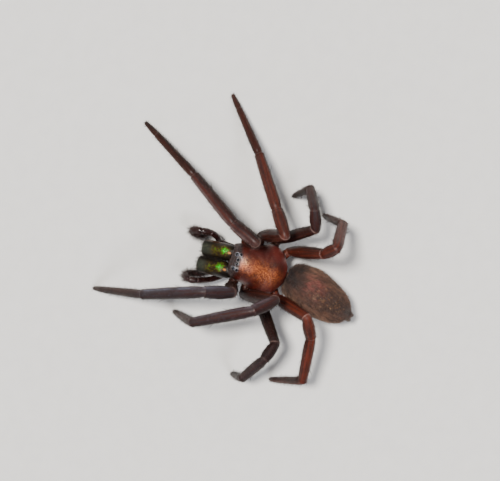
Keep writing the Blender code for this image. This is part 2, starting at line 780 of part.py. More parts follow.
def stand_on_origin(parent):
    """Move the whole spider so that its box stands centred on the origin."""
    bpy.context.view_layer.update()
    corners = []
    for item in bpy.data.objects:
        if item.type == "MESH" and not item.hide_render:
            corners.extend(item.matrix_world @ vertex.co for vertex in item.data.vertices)
    low = Vector([min(corner[k] for corner in corners) for k in range(3)])
    high = Vector([max(corner[k] for corner in corners) for k in range(3)])
    parent.location = Vector((-(low.x + high.x) / 2, -(low.y + high.y) / 2, -low.z))


def main():
    clear_scene()
    spider = bpy.data.objects.new("spider", None)
    bpy.context.scene.collection.objects.link(spider)
    build_carapace(spider)
    build_eyes(spider)
    build_sternum(spider)
    build_pedicel(spider)
    build_abdomen(spider)
    build_spinnerets(spider)
    for side in (RIGHT, LEFT):
        build_chelicera(side, spider)
        build_fang(side, spider)
        build_palp(side, spider)
        for number in LEG_LENGTHS:
            build_leg(number, side, spider)
    stand_on_origin(spider)


main()
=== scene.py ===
"""Looks of a life-size tube-dwelling spider: skins, coats, hard parts, light and camera.

Sizes are in millimetres in the frame of the body, and become metres where a mesh is made.
The head points along -Y, the spider's own right side is at -X, and the floor is z = 0.
A bearing is an angle in plan from straight ahead, outward to the spider's own side.
A lift is an angle up from the level.
"""
import math
from collections import namedtuple

import bpy
import numpy as np
from mathutils import Matrix, Quaternion, Vector, noise


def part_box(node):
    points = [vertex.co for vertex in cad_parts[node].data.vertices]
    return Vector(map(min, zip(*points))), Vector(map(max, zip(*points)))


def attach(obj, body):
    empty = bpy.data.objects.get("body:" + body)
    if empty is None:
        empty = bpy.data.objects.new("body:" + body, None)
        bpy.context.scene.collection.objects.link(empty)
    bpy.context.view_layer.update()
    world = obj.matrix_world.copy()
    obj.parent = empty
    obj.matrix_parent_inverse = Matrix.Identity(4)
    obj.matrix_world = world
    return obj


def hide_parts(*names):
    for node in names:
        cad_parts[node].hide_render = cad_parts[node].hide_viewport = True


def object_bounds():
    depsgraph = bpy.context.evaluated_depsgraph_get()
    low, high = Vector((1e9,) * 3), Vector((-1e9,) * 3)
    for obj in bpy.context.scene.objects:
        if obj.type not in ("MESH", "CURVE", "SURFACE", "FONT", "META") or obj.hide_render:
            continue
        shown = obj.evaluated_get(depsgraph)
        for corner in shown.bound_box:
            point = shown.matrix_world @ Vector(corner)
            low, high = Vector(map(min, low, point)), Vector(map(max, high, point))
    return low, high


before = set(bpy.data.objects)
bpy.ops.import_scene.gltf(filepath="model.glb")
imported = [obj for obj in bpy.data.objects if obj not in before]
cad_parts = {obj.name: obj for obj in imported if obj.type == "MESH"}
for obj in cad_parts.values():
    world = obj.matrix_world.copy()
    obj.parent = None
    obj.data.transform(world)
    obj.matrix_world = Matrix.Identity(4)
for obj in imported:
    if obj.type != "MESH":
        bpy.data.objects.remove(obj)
cad_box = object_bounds()

MM = 0.001
# how far hair may rise over the highest knee
HAIR_ABOVE = 0.34
HIGHEST = cad_box[1][2] / MM + HAIR_ABOVE
RIGHT = -1
LEFT = 1
SIDE_NAMES = {RIGHT: "right", LEFT: "left"}
UP = Vector((0, 0, 1))
AHEAD = Vector((0, -1, 0))
GAP = 0.3

# Carapace
CARAPACE_FRONT_Y = -3.75
CARAPACE_REAR_Y = 3.5
CARAPACE_FLOOR_Z = 4.75
CARAPACE_RIM_Z = 5.0
CARAPACE_SIDES = 176
CARAPACE_RINGS = 120
CARAPACE_FLAT = 0.85
CARAPACE_FOOT = 0.94
# share of the length from the front, half width, height of the crown above the rim
CARAPACE_SHAPE = (
    (0.00, 2.05, 1.05),
    (0.06, 2.24, 1.50),
    (0.20, 2.36, 1.85),
    (0.34, 2.58, 1.85),
    (0.50, 2.98, 1.60),
    (0.66, 3.25, 1.30),
    (0.82, 2.85, 1.00),
    (0.94, 1.90, 0.50),
    (1.00, 1.10, 0.20),
)
# rings that round the shield off in front and behind: share of the length, size, place beyond it
CARAPACE_FRONT_RINGS = (
    (0.0, 0.30, -0.20),
    (0.0, 0.60, -0.19),
    (0.0, 0.80, -0.15),
    (0.0, 0.92, -0.09),
    (0.0, 0.98, -0.04),
)
CARAPACE_REAR_RINGS = ((1.0, 0.90, 0.03), (1.0, 0.70, 0.06), (1.0, 0.40, 0.08))
FOVEA_Y = 0.95
# the painted copper highlight along the crown: its drift to the left towards the rear and its width, as
# shares of the half width
HIGHLIGHT_DRIFT = 0.22
HIGHLIGHT_WIDTH = 0.35
# shares of the length between which the painted highlight rises and falls, and the brow ends
HIGHLIGHT_RISE = (0.09, 0.20)
HIGHLIGHT_FALL = (0.62, 1.05)
BROW_END = (0.085, 0.165)
# how much painted shade darkens the edge of each side
EDGE_SHADE = {RIGHT: 0.45, LEFT: 0.80}
# place of the painted cream highlight behind the eyes, and its reach
PAINTED_BLAZE = (-0.25, -2.20, 0.36, 0.42)
# Furrows of the carapace: end of each one off the middle, its y there, depth and width
FURROWS = (
    (1.95, -1.75, 0.034, 0.26),
    (3.00, -0.60, 0.022, 0.20),
    (3.25, 0.80, 0.022, 0.20),
    (2.70, 2.30, 0.022, 0.20),
    (1.20, 3.10, 0.018, 0.20),
)

# Eyes: distance off the middle, distance behind the front edge, radius
EYE_PAIRS = {
    "front_side": (0.90, 0.34, 0.21),
    "rear_side": (1.00, 0.80, 0.19),
    "middle": (0.26, 0.62, 0.19),
}
EYE_SUNK = 0.30
EYE_SWELL = 1.12
EYE_RINGS = 22
EYE_SIDES = 32
# the skin's swelling round an eye and the painted glint on its rim: height, then places and widths in
# radii
EYE_RELIEF = (0.06, 1.05, 0.42)
EYE_GLINT = (1.16, 0.15)
SLOPE_STEP = 0.05

# Breastplate, mouthparts and waist
STERNUM_FRONT_Y = -3.5
STERNUM_REAR_Y = 2.85
PEDICEL_RADIUS = 0.42
PEDICEL_Z = 3.98
PEDICEL_LENGTH = 0.7
PEDICEL_RINGS = 16
# share of the length, half width of the plate, half width of the soft sides, height of the belly
STERNUM_SHAPE = (
    (0.00, 0.45, 0.95, 3.60),
    (0.10, 0.80, 1.35, 3.25),
    (0.25, 1.15, 1.80, 2.95),
    (0.45, 1.42, 2.40, 2.74),
    (0.68, 1.38, 2.50, 2.76),
    (0.86, 0.95, 1.70, 3.00),
    (1.00, 0.45, 0.70, 3.45),
)
STERNUM_RINGS = 46
STERNUM_SIDES = 48
STERNUM_SET_BACK = 0.9
# lip and mouthparts: start, end, half width, half height
MOUTHPARTS = (
    ((0.0, -1.75, 3.05), (0.0, -2.75, 3.10), 0.42, 0.34),
    ((-1.05, -1.95, 3.15), (-0.42, -3.45, 2.95), 0.46, 0.42),
    ((1.05, -1.95, 3.15), (0.42, -3.45, 2.95), 0.46, 0.42),
)
MOUTHPART_RINGS = 20

# Abdomen
ABDOMEN_LENGTH = 9.05
ABDOMEN_HALF_WIDTH = 2.85
ABDOMEN_HALF_HEIGHT = 2.65
ABDOMEN_TURN = 17.0
ABDOMEN_DROOP = 3.0
ABDOMEN_Z = 4.6
ABDOMEN_COAT = 0.13
ABDOMEN_SHAPE = (
    (0.00, 0.44),
    (0.04, 0.66),
    (0.16, 0.86),
    (0.38, 1.00),
    (0.62, 0.91),
    (0.82, 0.76),
    (0.94, 0.54),
    (1.00, 0.33),
)

ABDOMEN_RINGS = 110
ABDOMEN_SIDES = 120
# rings that round it off in front and behind: share of the length, size, place beyond it
ABDOMEN_FRONT_RINGS = ((0.0, 0.10, -0.16), (0.0, 0.22, -0.14), (0.0, 0.34, -0.08))
ABDOMEN_REAR_RINGS = ((1.0, 0.26, 0.10), (1.0, 0.18, 0.16), (1.0, 0.08, 0.19))
# pairs of small sunk muscle spots: share of the length, distance off the middle
MUSCLE_SPOTS = ((0.30, 0.75), (0.50, 0.85))
SPOT_DEPTH = 0.07
SPOT_WIDTH = 0.20

# Spinnerets: distance off the middle, height off the middle, root radius, length
SPINNERET_BASE_RADIUS = 0.72
SPINNERET_BASE_DEPTH = 0.36
SPINNERET_SPLAY = 0.10
SPINNERET_FAN = 0.3
SPINNERET_DROOP = 0.45
SPINNERETS = (
    (0.32, 0.20, 0.25, 0.32),
    (0.20, -0.08, 0.20, 0.22),
    (0.34, -0.36, 0.30, 0.36),
)

# share of the base's depth, or of a cone's length, then size
SPINNERET_BASE_RINGS = (
    (-0.9, 0.95), (-0.3, 1.0), (0.3, 1.02), (0.8, 0.92), (1.0, 0.75), (1.1, 0.5), (1.15, 0.2),
)
SPINNERET_RINGS = (
    (0.0, 1.0), (0.40, 1.0), (0.55, 0.96), (0.60, 0.84),
    (0.66, 0.86), (0.85, 0.72), (0.95, 0.5), (1.0, 0.22),
)
SPINNERET_JOINT = 0.60

# Chelicerae and fangs
CHELICERA_SPREAD = 1.20
CHELICERA_MIDDLE_X = 0.35
CHELICERA_ROOT_Z = 5.05
CHELICERA_TURN = 7.0
CHELICERA_LIFT = -38.0
CHELICERA_LENGTH = 3.9
CHELICERA_CLOSE = 0.8
CHELICERA_HALF_WIDTH = 0.97
CHELICERA_HALF_HEIGHT = 1.08
CHELICERA_INNER = 1.17
CHELICERA_SIDES = 60
CHELICERA_RINGS = 76
# share of the length, shares of the greatest half width and half height
CHELICERA_SHAPE = (
    (-0.26, 0.55, 0.30),
    (-0.16, 0.74, 0.46),
    (-0.06, 0.90, 0.66),
    (0.03, 0.97, 0.88),
    (0.12, 1.01, 1.00),
    (0.28, 1.02, 1.04),
    (0.55, 1.00, 1.00),
    (0.82, 0.98, 0.97),
    (0.94, 0.95, 0.94),
    (0.985, 0.84, 0.84),
    (1.005, 0.60, 0.62),
    (1.012, 0.10, 0.10),
)
# the green patch is the jaws' iridescent green, painted brighter in one spot as a highlight
# share and place off the ridge of the green glint, its spread, then the same of the pale boss
JAW_MARKS = {
    RIGHT: (0.13, -0.16, 0.13, -0.03, 0.05),
    LEFT: (0.13, 0.40, 0.12, -0.04, 0.14),
}
FANG_RADIUS = 0.29
FANG_TIP_RADIUS = 0.05
FANG_TAPER = 1.3
FANG_RINGS = 26
FANG_SIDES = 20
# along the jaw, up from it, and inward from it, all measured from the end of the jaw
FANG_HINGE = (-0.15, -0.30, 0.0)
FANG_BEND = (0.75, -1.25, 0.15)
FANG_TIP = (-0.35, -2.05, 0.40)

# Legs: lengths from the hip outward, and where each hip sits
LEG_LENGTHS = {
    1: {"femur": 8.4, "patella": 3.7, "tibia": 8.4, "metatarsus": 7.7, "tarsus": 2.5},
    2: {"femur": 8.2, "patella": 3.6, "tibia": 8.0, "metatarsus": 7.2, "tarsus": 2.4},
    3: {"femur": 6.6, "patella": 2.6, "tibia": 4.6, "metatarsus": 4.5, "tarsus": 1.7},
    4: {"femur": 7.6, "patella": 3.0, "tibia": 6.4, "metatarsus": 6.0, "tarsus": 2.0},
}
HIP_Z = 4.0
COXA_ROOT_Z = 3.5
COXA_SUNK = 0.5
COXA_ROOTS = {1: (1.45, -2.0), 2: (1.80, -0.60), 3: (1.80, 0.95), 4: (1.38, 2.25)}
HIPS = {1: (3.30, -2.55), 2: (3.90, -0.70), 3: (3.95, 1.50), 4: (3.05, 3.40)}
LEG_BUILD = {1: 1.0, 2: 0.98, 3: 0.90, 4: 0.94}
TARSUS_DROOP = 4.0
STEEPEST_FOOT = 84.0
HALVINGS = 40
SKIN_SHARE = 0.94
# greatest radius of each length, then its shape from root to tip
LEG_FORMS = (
    (0.66, ((0.0, 0.80), (0.5, 0.98), (1.0, 0.94))),
    (0.86, ((0.0, 0.74), (0.08, 0.72), (0.14, 0.86), (0.36, 1.0), (0.75, 0.93), (1.0, 0.82))),
    (0.86, ((0.0, 0.86), (0.4, 1.0), (0.75, 0.97), (1.0, 0.88))),
    (0.79, ((0.0, 0.90), (0.2, 1.0), (0.7, 0.93), (1.0, 0.84))),
    (0.58, ((0.0, 0.88), (0.12, 1.0), (0.55, 0.88), (0.92, 0.76), (1.0, 0.74))),
    (0.40, ((0.0, 0.98), (0.3, 1.0), (0.7, 0.80), (1.0, 0.60))),
)
# how pale each joint's rim and membrane are, from hip to tarsus
JOINT_PALENESS = (0.15, 0.36, 0.06, 0.04, 0.03)
LEG_POSE = {
    (1, RIGHT): {"femur": (3, 88), "patella": (24, -33), "tibia": (36, -33), "foot": 32},
    (1, LEFT): {"femur": (4, 81), "patella": (12, 18), "tibia": (24, -34), "foot": 21},
    (2, RIGHT): {"femur": (134, 78), "patella": (60, -33), "tibia": (60, -33), "foot": 54},
    (2, LEFT): {"femur": (-157, 71), "patella": (35, 26), "tibia": (32, -27), "foot": 20},
    (3, RIGHT): {"femur": (137, 50), "patella": (64, 19), "tibia": (79, -59), "foot": -71},
    (3, LEFT): {"femur": (122, 38), "patella": (65, 23), "tibia": (68, -38), "foot": 77},
    (4, RIGHT): {"femur": (155, 67), "patella": (117, 63), "tibia": (113, -61), "foot": 10},
    (4, LEFT): {"femur": (165, 66), "patella": (123, -20), "tibia": (102, -23), "foot": 39},
}
# how red and how grey each leg is, and how strong the painted highlight line along its top is
LEG_TONES = {
    (1, RIGHT): (0.36, 0.32, 0.80),
    (1, LEFT): (0.20, 0.95, 0.90),
    (2, RIGHT): (0.52, 0.12, 0.10),
    (2, LEFT): (0.30, 0.72, 0.70),
    (3, RIGHT): (0.20, 0.45, 0.0),
    (3, LEFT): (0.08, 0.34, 0.15),
    (4, RIGHT): (0.58, 0.24, 0.0),
    (4, LEFT): (0.70, 0.10, 0.0),
}

# Palps
PALP_LINES = {
    RIGHT: (
        (-1.42, -3.55, 2.45),
        (-1.54, -5.11, 2.20),
        (-2.16, -6.06, 3.10),
        (-2.42, -7.07, 3.70),
        (-2.31, -8.09, 3.95),
        (-2.17, -8.92, 3.60),
        (-1.90, -9.10, 2.90),
        (-1.70, -8.52, 2.25),
        (-1.68, -7.04, 1.70),
    ),
    LEFT: (
        (2.35, -3.60, 2.60),
        (2.90, -4.41, 2.90),
        (3.43, -5.44, 3.30),
        (3.85, -7.05, 4.22),
        (3.96, -7.87, 4.13),
        (3.82, -8.34, 3.43),
        (3.65, -8.16, 2.48),
        (3.40, -7.55, 1.83),
        (2.88, -5.69, 1.60),
    ),
}
# rows of that line where the arm meets the patella, the patella the tibia, and that the tarsus
PALP_JOINTS = (3, 4, 6)
PALP_SUNK = 0.4
PALP_RINGS = 150
# share of the length, radius
PALP_SHAPE = (
    (0.00, 0.36),
    (0.14, 0.38),
    (0.38, 0.40),
    (0.45, 0.40),
    (0.54, 0.43),
    (0.66, 0.43),
    (0.80, 0.44),
    (0.93, 0.39),
    (0.975, 0.28),
    (1.00, 0.08),
)

# Limb skins
LIMB_SIDES = 30
RING_STEP = 0.30
INNER_STRETCH = 1.2
INNER_REACH = 0.9
LONGEST_BEND = 0.30
JOINT_DEPTH = 0.34
# share of the way into the joint, size, paleness
JOINT_BEFORE = (
    (0.00, 1.00, 0.0),
    (0.30, 1.02, 0.0),
    (0.54, 1.05, 0.05),
    (0.63, 1.05, 1.0),
    (0.68, 1.02, 1.0),
    (0.75, 0.96, 0.25),
    (0.90, 0.92, 0.15),
)
JOINT_MIDDLE = (1.00, 0.90, 0.15)
JOINT_CLEAR = 0.04
JOINT_AFTER = (
    (0.90, 0.92, 0.15),
    (0.74, 0.94, 0.10),
    (0.50, 0.98, 0.0),
    (0.00, 1.00, 0.0),
)

# rounding of a limb's tip: distance back from it, size
TIP_RINGS = ((0.08, 0.88), (0.03, 0.66), (0.0, 0.36))
TIP_LENGTH = 0.16
# width in radians of the painted highlight line along the top of a leg
HIGHLIGHT_LINE_WIDTH = 0.30
# how much hair each pair of legs has
HAIR_SHARES = {1: 1.0, 2: 0.95, 3: 0.62, 4: 0.80}

# Tufts: number, length, width, lean off the skin at root and tip and spread of heading in degrees,
# and depth of the root under the skin
Tuft = namedtuple("Tuft", "count length width lean curl wander sink", defaults=(14, 0.04))
CARAPACE_TUFT = Tuft(2200, 0.17, 0.016, 20, 8, 26, 0.02)
BROW_TUFT = Tuft(520, 0.24, 0.020, 34, 16, 34, 0.02)
LEG_TUFT = Tuft(4800, 0.36, 0.024, 24, 14, 15)
LEG_LONG_TUFT = Tuft(1300, 0.60, 0.020, 44, 34, 22)
PALP_TUFT = Tuft(1500, 0.24, 0.022, 22, 12, 18)
PALP_LONG_TUFT = Tuft(760, 0.66, 0.024, 50, 40, 30)
JAW_TUFT = Tuft(900, 0.30, 0.024, 26, 12, 20)
JAW_LONG_TUFT = Tuft(420, 0.62, 0.024, 40, 30, 24)
JAW_FRINGE_TUFT = Tuft(420, 0.30, 0.034, 38, 20, 30)
STERNUM_TUFT = Tuft(700, 0.34, 0.022, 30, 14, 30)
MOUTH_TUFT = Tuft(160, 0.34, 0.022, 34, 18, 20)
ABDOMEN_TUFT = Tuft(15000, 0.50, 0.060, 22, 8, 12, 0.05)
ABDOMEN_LONG_TUFT = Tuft(12000, 0.85, 0.050, 22, 8, 11, 0.05)
ABDOMEN_GLINT = Tuft(110, 0.76, 0.070, 31, 8, 24, 0.05)
SPINNERET_BASE_TUFT = Tuft(260, 0.34, 0.026, 26, 12)
SPINNERET_TUFT = Tuft(120, 0.24, 0.020, 28, 14)
# how much tufts of a kind differ
LENGTH_SPREAD = (0.65, 1.25)
WIDTH_SPREAD = (0.75, 1.3)
LEAN_SPREAD = 0.22
CURL_SPREAD = 6
# how far above the floor all hair stays
LOWEST_HAIR = 0.01

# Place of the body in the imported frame
box_low, box_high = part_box("carapace")
SHIFT = Vector(((box_low.x + box_high.x) / 2, box_low.y - CARAPACE_FRONT_Y * MM, 0.0))


def direction(side, bearing, lift):
    """Unit vector from a bearing and a lift in degrees."""
    turn = math.radians(bearing)
    rise = math.radians(lift)
    level = math.cos(rise)
    return Vector((side * level * math.sin(turn), -level * math.cos(turn), math.sin(rise)))


def read_shape(shape, share):
    """Values of a shape table at a share of its length, eased through the rows."""
    rows = len(shape)
    index = 0
    while index < rows - 2 and share > shape[index + 1][0]:
        index += 1
    start, end = shape[index], shape[index + 1]
    before = shape[max(index - 1, 0)]
    after = shape[min(index + 2, rows - 1)]
    span = end[0] - start[0]
    t = min(max((share - start[0]) / span, 0.0), 1.0)
    values = []
    for k in range(1, len(start)):
        slope_in = (end[k] - before[k]) / (end[0] - before[0]) * span
        slope_out = (after[k] - start[k]) / (after[0] - start[0]) * span
        blend = (2 * t ** 3 - 3 * t ** 2 + 1) * start[k] + (t ** 3 - 2 * t ** 2 + t) * slope_in
        values.append(blend + (3 * t ** 2 - 2 * t ** 3) * end[k] + (t ** 3 - t ** 2) * slope_out)
    return values


def side_axes(along, toward=UP):
    """Two unit vectors square to a direction, the second one nearest to another vector."""
    if abs(along.normalized().dot(toward)) > 0.985:
        toward = AHEAD
    across = along.cross(toward).normalized()
    return across, across.cross(along).normalized()


def oval(centre, across, upward, half_width, half_height, sides):
    """Points of an ellipse about a centre."""
    points = []
    for step in range(sides):
        angle = 2 * math.pi * step / sides
        sideways = across * half_width * math.cos(angle)
        points.append(centre + sideways + upward * half_height * math.sin(angle))
    return points


def smooth(value, low, high):
    """0 below low, 1 above high, eased between."""
    t = np.clip((value - low) / (high - low), 0.0, 1.0)
    return t * t * (3 - 2 * t)


# Surfaces


def steps_round(sides):
    """Cosine and sine of each step round a ring."""
    for step in range(sides):
        angle = 2 * math.pi * step / sides
        yield math.cos(angle), math.sin(angle)


def bump(value, middle, width):
    """One at the middle, and less to both sides of it."""
    return math.exp(-((value - middle) / width) ** 2)


def gather(rows):
    """One list for each name, from values that are given point by point."""
    return {name: [row[name] for row in rows] for name in rows[0]}


class Skin:
    """A surface of rings, with values at each ring for its materials and its coat."""

    def __init__(self):
        self.rings = []
        self.tags = []

    def add(self, outline, **tags):
        self.rings.append([tuple(point) for point in outline])
        self.tags.append(tags)

    def settle(self):
        """Turn the rings into arrays."""
        self.points = np.array(self.rings, dtype=float)
        names = self.tags[0].keys()
        count = self.points.shape[1]
        self.values = {}
        for name in names:
            rows = [np.broadcast_to(np.asarray(row[name], dtype=float), (count,)) for row in self.tags]
            self.values[name] = np.array(rows)
        steps = np.linalg.norm(np.diff(self.points, axis=0), axis=2).mean(axis=1)
        length = np.concatenate([[0.0], np.cumsum(steps)])
        self.v = length / max(length[-1], 1e-9)
        return self


def to_world(points):
    return np.asarray(points) * MM + np.array(SHIFT)


def link_object(name, mesh, material, nodes=()):
    mesh.materials.append(material)
    mesh.shade_smooth()
    item = bpy.data.objects.new(name, mesh)
    bpy.context.scene.collection.objects.link(item)
    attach(item, "root")
    if nodes:
        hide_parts(*nodes)
    return item


def add_values(mesh, values):
    for name, array in values.items():
        layer = mesh.attributes.new(name, "FLOAT", "POINT")
        layer.data.foreach_set("value", np.asarray(array, dtype=np.float32).ravel())


def skin_mesh(name, skins):
    """One mesh of several closed skins."""
    points, faces = [], []
    values = {key: [] for key in skins[0].values}
    for skin in skins:
        base = sum(len(part) for part in points)
        grid = skin.points
        rows, sides = grid.shape[:2]
        flat = grid.reshape(-1, 3)
        hubs = np.array([grid[0].mean(axis=0), grid[-1].mean(axis=0)])
        points.append(np.concatenate([flat, hubs]))
        for key, array in skin.values.items():
            ends = [array[0].mean(), array[-1].mean()]
            values[key].append(np.concatenate([array.ravel(), ends]))
        k = rows // 2
        edge_round = grid[k, 1] - grid[k, 0]
        edge_along = grid[min(k + 1, rows - 1), 0] - grid[k, 0]
        outward = grid[k, 0] - grid[k].mean(axis=0)
        turned = np.dot(np.cross(edge_round, edge_along), outward) < 0
        part = []
        for row in range(rows - 1):
            here, there = base + row * sides, base + (row + 1) * sides
            for step in range(sides):
                after = (step + 1) % sides
                part.append((here + step, here + after, there + after, there + step))
        near, far = base + rows * sides, base + rows * sides + 1
        last = base + (rows - 1) * sides
        for step in range(sides):
            after = (step + 1) % sides
            part.append((near, base + after, base + step))
            part.append((far, last + step, last + after))
        if turned:
            part = [face[::-1] for face in part]
        faces.extend(part)
    mesh = bpy.data.meshes.new(name)
    mesh.from_pydata(to_world(np.concatenate(points)).tolist(), [], faces)
    add_values(mesh, {key: np.concatenate(parts) for key, parts in values.items()})
    mesh.update()
    return mesh


def link_skins(name, skins, material, nodes=()):
    """One piece made of several closed skins."""
    return link_object(name, skin_mesh(name, skins), material, nodes)


# Tufts of hair

# a tuft is a three-sided blade with a bend at its middle
BLADE_QUADS = ((0, 1, 4, 3), (1, 2, 5, 4), (2, 0, 3, 5))
BLADE_TIPS = ((3, 4, 6), (4, 5, 6), (5, 3, 6))
BLADE_POINTS = 7
BLADE_ACROSS = np.array([-0.5, 0.5, 0.0, -0.36, 0.36, 0.0, 0.0])
BLADE_RISE = np.array([0.0, 0.0, 0.45, 0.0, 0.0, 0.32, 0.0])
BLADE_MIDDLE = 0.55
# corners of a tuft's patch in the bake map, how near each is to the tip, half the patch's width,
# and the margin left free along the edge of the map
BLADE_MAP = np.array([(-1, -1), (1, -1), (0, -0.6), (-0.8, 0.4), (0.8, 0.4), (0, 0.5), (0, 1)])
BLADE_TIPNESS = np.array([0, 0, 0, 0.55, 0.55, 0.55, 1.0])
PATCH = 0.0015
MAP_MARGIN = 0.01


def unit(vectors):
    return vectors / np.maximum(np.linalg.norm(vectors, axis=-1, keepdims=True), 1e-9)


class Coat:
    """Tufts rooted on skins, gathered into one mesh with a patch of the bake map for each."""

    def __init__(self, seed):
        self.random = np.random.default_rng(seed)
        self.points = []
        self.maps = []
        self.values = []

    def grow(self, skin, tuft, share=1.0, density=None, size=None, lie=None, map_part=(0.0, 1.0)):
        """Root tufts of one kind at random over a skin, along its rings or as lie says."""
        grid = skin.points
        sides = grid.shape[1]
        count = int(tuft.count * share)
        beside = np.roll(grid, -1, axis=1)
        corner = grid[:-1]
        normal = np.cross(beside[:-1] - corner, grid[1:] - corner)
        weight = np.linalg.norm(normal, axis=2)
        outward = corner - corner.mean(axis=1, keepdims=True)
        sign = np.sign((normal * outward).sum(axis=2).sum())
        if density is not None:
            weight = weight * (density[:-1] if density.ndim == 2 else density[:-1, None])
        weight = weight / weight.sum()
        draw = self.random
        k, n = np.divmod(draw.choice(weight.size, size=count, p=weight.ravel()), sides)
        onward, across = draw.random(count), draw.random(count)
        s, t = onward[:, None], across[:, None]
        a, b = grid[k, n], beside[k, n]
        c, d = grid[k + 1, n], beside[k + 1, n]
        root = (a * (1 - t) + b * t) * (1 - s) + (c * (1 - t) + d * t) * s
        up = unit(np.cross(b - a + d - c, c - a + d - b)) * sign
        way = (c - a) + (d - b) if lie is None else lie[k, n]
        way = unit(way - up * (way * up).sum(axis=1, keepdims=True))
        side = np.cross(up, way)
        turn = np.radians(draw.normal(0, tuft.wander, count))[:, None]
        way = way * np.cos(turn) + side * np.sin(turn)
        side = np.cross(up, way)
        reach = tuft.length * draw.uniform(*LENGTH_SPREAD, count)
        if size is not None:
            reach = reach * (size[k, n] if size.ndim == 2 else size[k])
        wide = tuft.width * draw.uniform(*WIDTH_SPREAD, count)
        lean = np.radians(tuft.lean + draw.normal(0, tuft.lean * LEAN_SPREAD, count))[:, None]
        curl = np.radians(tuft.curl + draw.normal(0, CURL_SPREAD, count))[:, None]
        first = way * np.cos(lean) + up * np.sin(lean)
        second = way * np.cos(curl) + up * np.sin(curl)
        start = root - up * tuft.sink
        middle = start + first * (reach * BLADE_MIDDLE)[:, None]
        end = middle + second * (reach * (1 - BLADE_MIDDLE))[:, None]
        spine = np.stack([start] * 3 + [middle] * 3 + [end], axis=1)
        rise = np.cross(side, first)
        rise = rise * np.sign((rise * up).sum(axis=1, keepdims=True))
        offsets = (side[:, None, :] * BLADE_ACROSS[None, :, None]
                   + rise[:, None, :] * BLADE_RISE[None, :, None]) * wide[:, None, None]
        blades = spine + offsets
        blades[:, :, 2] = np.clip(blades[:, :, 2], LOWEST_HAIR, HIGHEST)
        self.points.append(blades)
        u = (n + across) / sides
        v = skin.v[k] * (1 - onward) + skin.v[k + 1] * onward
        v = map_part[0] + (map_part[1] - map_part[0]) * v
        self.maps.append(np.stack([u, v], axis=1) * (1 - 2 * MAP_MARGIN) + MAP_MARGIN)
        kept = {key: array[k, n] for key, array in skin.values.items()}
        kept["chance"] = draw.random(count)
        self.values.append(kept)

    def build(self, name, material, slot):
        blades = np.concatenate(self.points)
        count = len(blades)
        mesh = bpy.data.meshes.new(name)
        mesh.vertices.add(count * BLADE_POINTS)
        mesh.vertices.foreach_set("co", to_world(blades.reshape(-1, 3)).ravel())
        pattern = np.array([v for face in BLADE_QUADS + BLADE_TIPS for v in face])
        starts, position = [], 0
        for face in BLADE_QUADS + BLADE_TIPS:
            starts.append(position)
            position += len(face)
        step = len(pattern)
        corners = (np.arange(count)[:, None] * BLADE_POINTS + pattern[None, :]).ravel()
        mesh.loops.add(count * step)
        mesh.loops.foreach_set("vertex_index", corners.astype(np.int32))
        mesh.polygons.add(count * len(starts))
        firsts = (np.arange(count)[:, None] * step + np.array(starts)[None, :]).ravel()
        mesh.polygons.foreach_set("loop_start", firsts.astype(np.int32))
        mesh.update(calc_edges=True)
        layer = mesh.uv_layers.new(name="OFBake")
        maps = np.concatenate(self.maps)
        spots = maps[:, None, :] + BLADE_MAP[pattern][None, :, :] * PATCH
        layer.data.foreach_set("uv", spots.ravel().astype(np.float32))
        values = {}
        for key in self.values[0]:
            values[key] = np.repeat(np.concatenate([part[key] for part in self.values]), BLADE_POINTS)
        values["tip"] = np.tile(BLADE_TIPNESS, count)
        add_values(mesh, values)
        return link_object(name, mesh, material)


# Materials


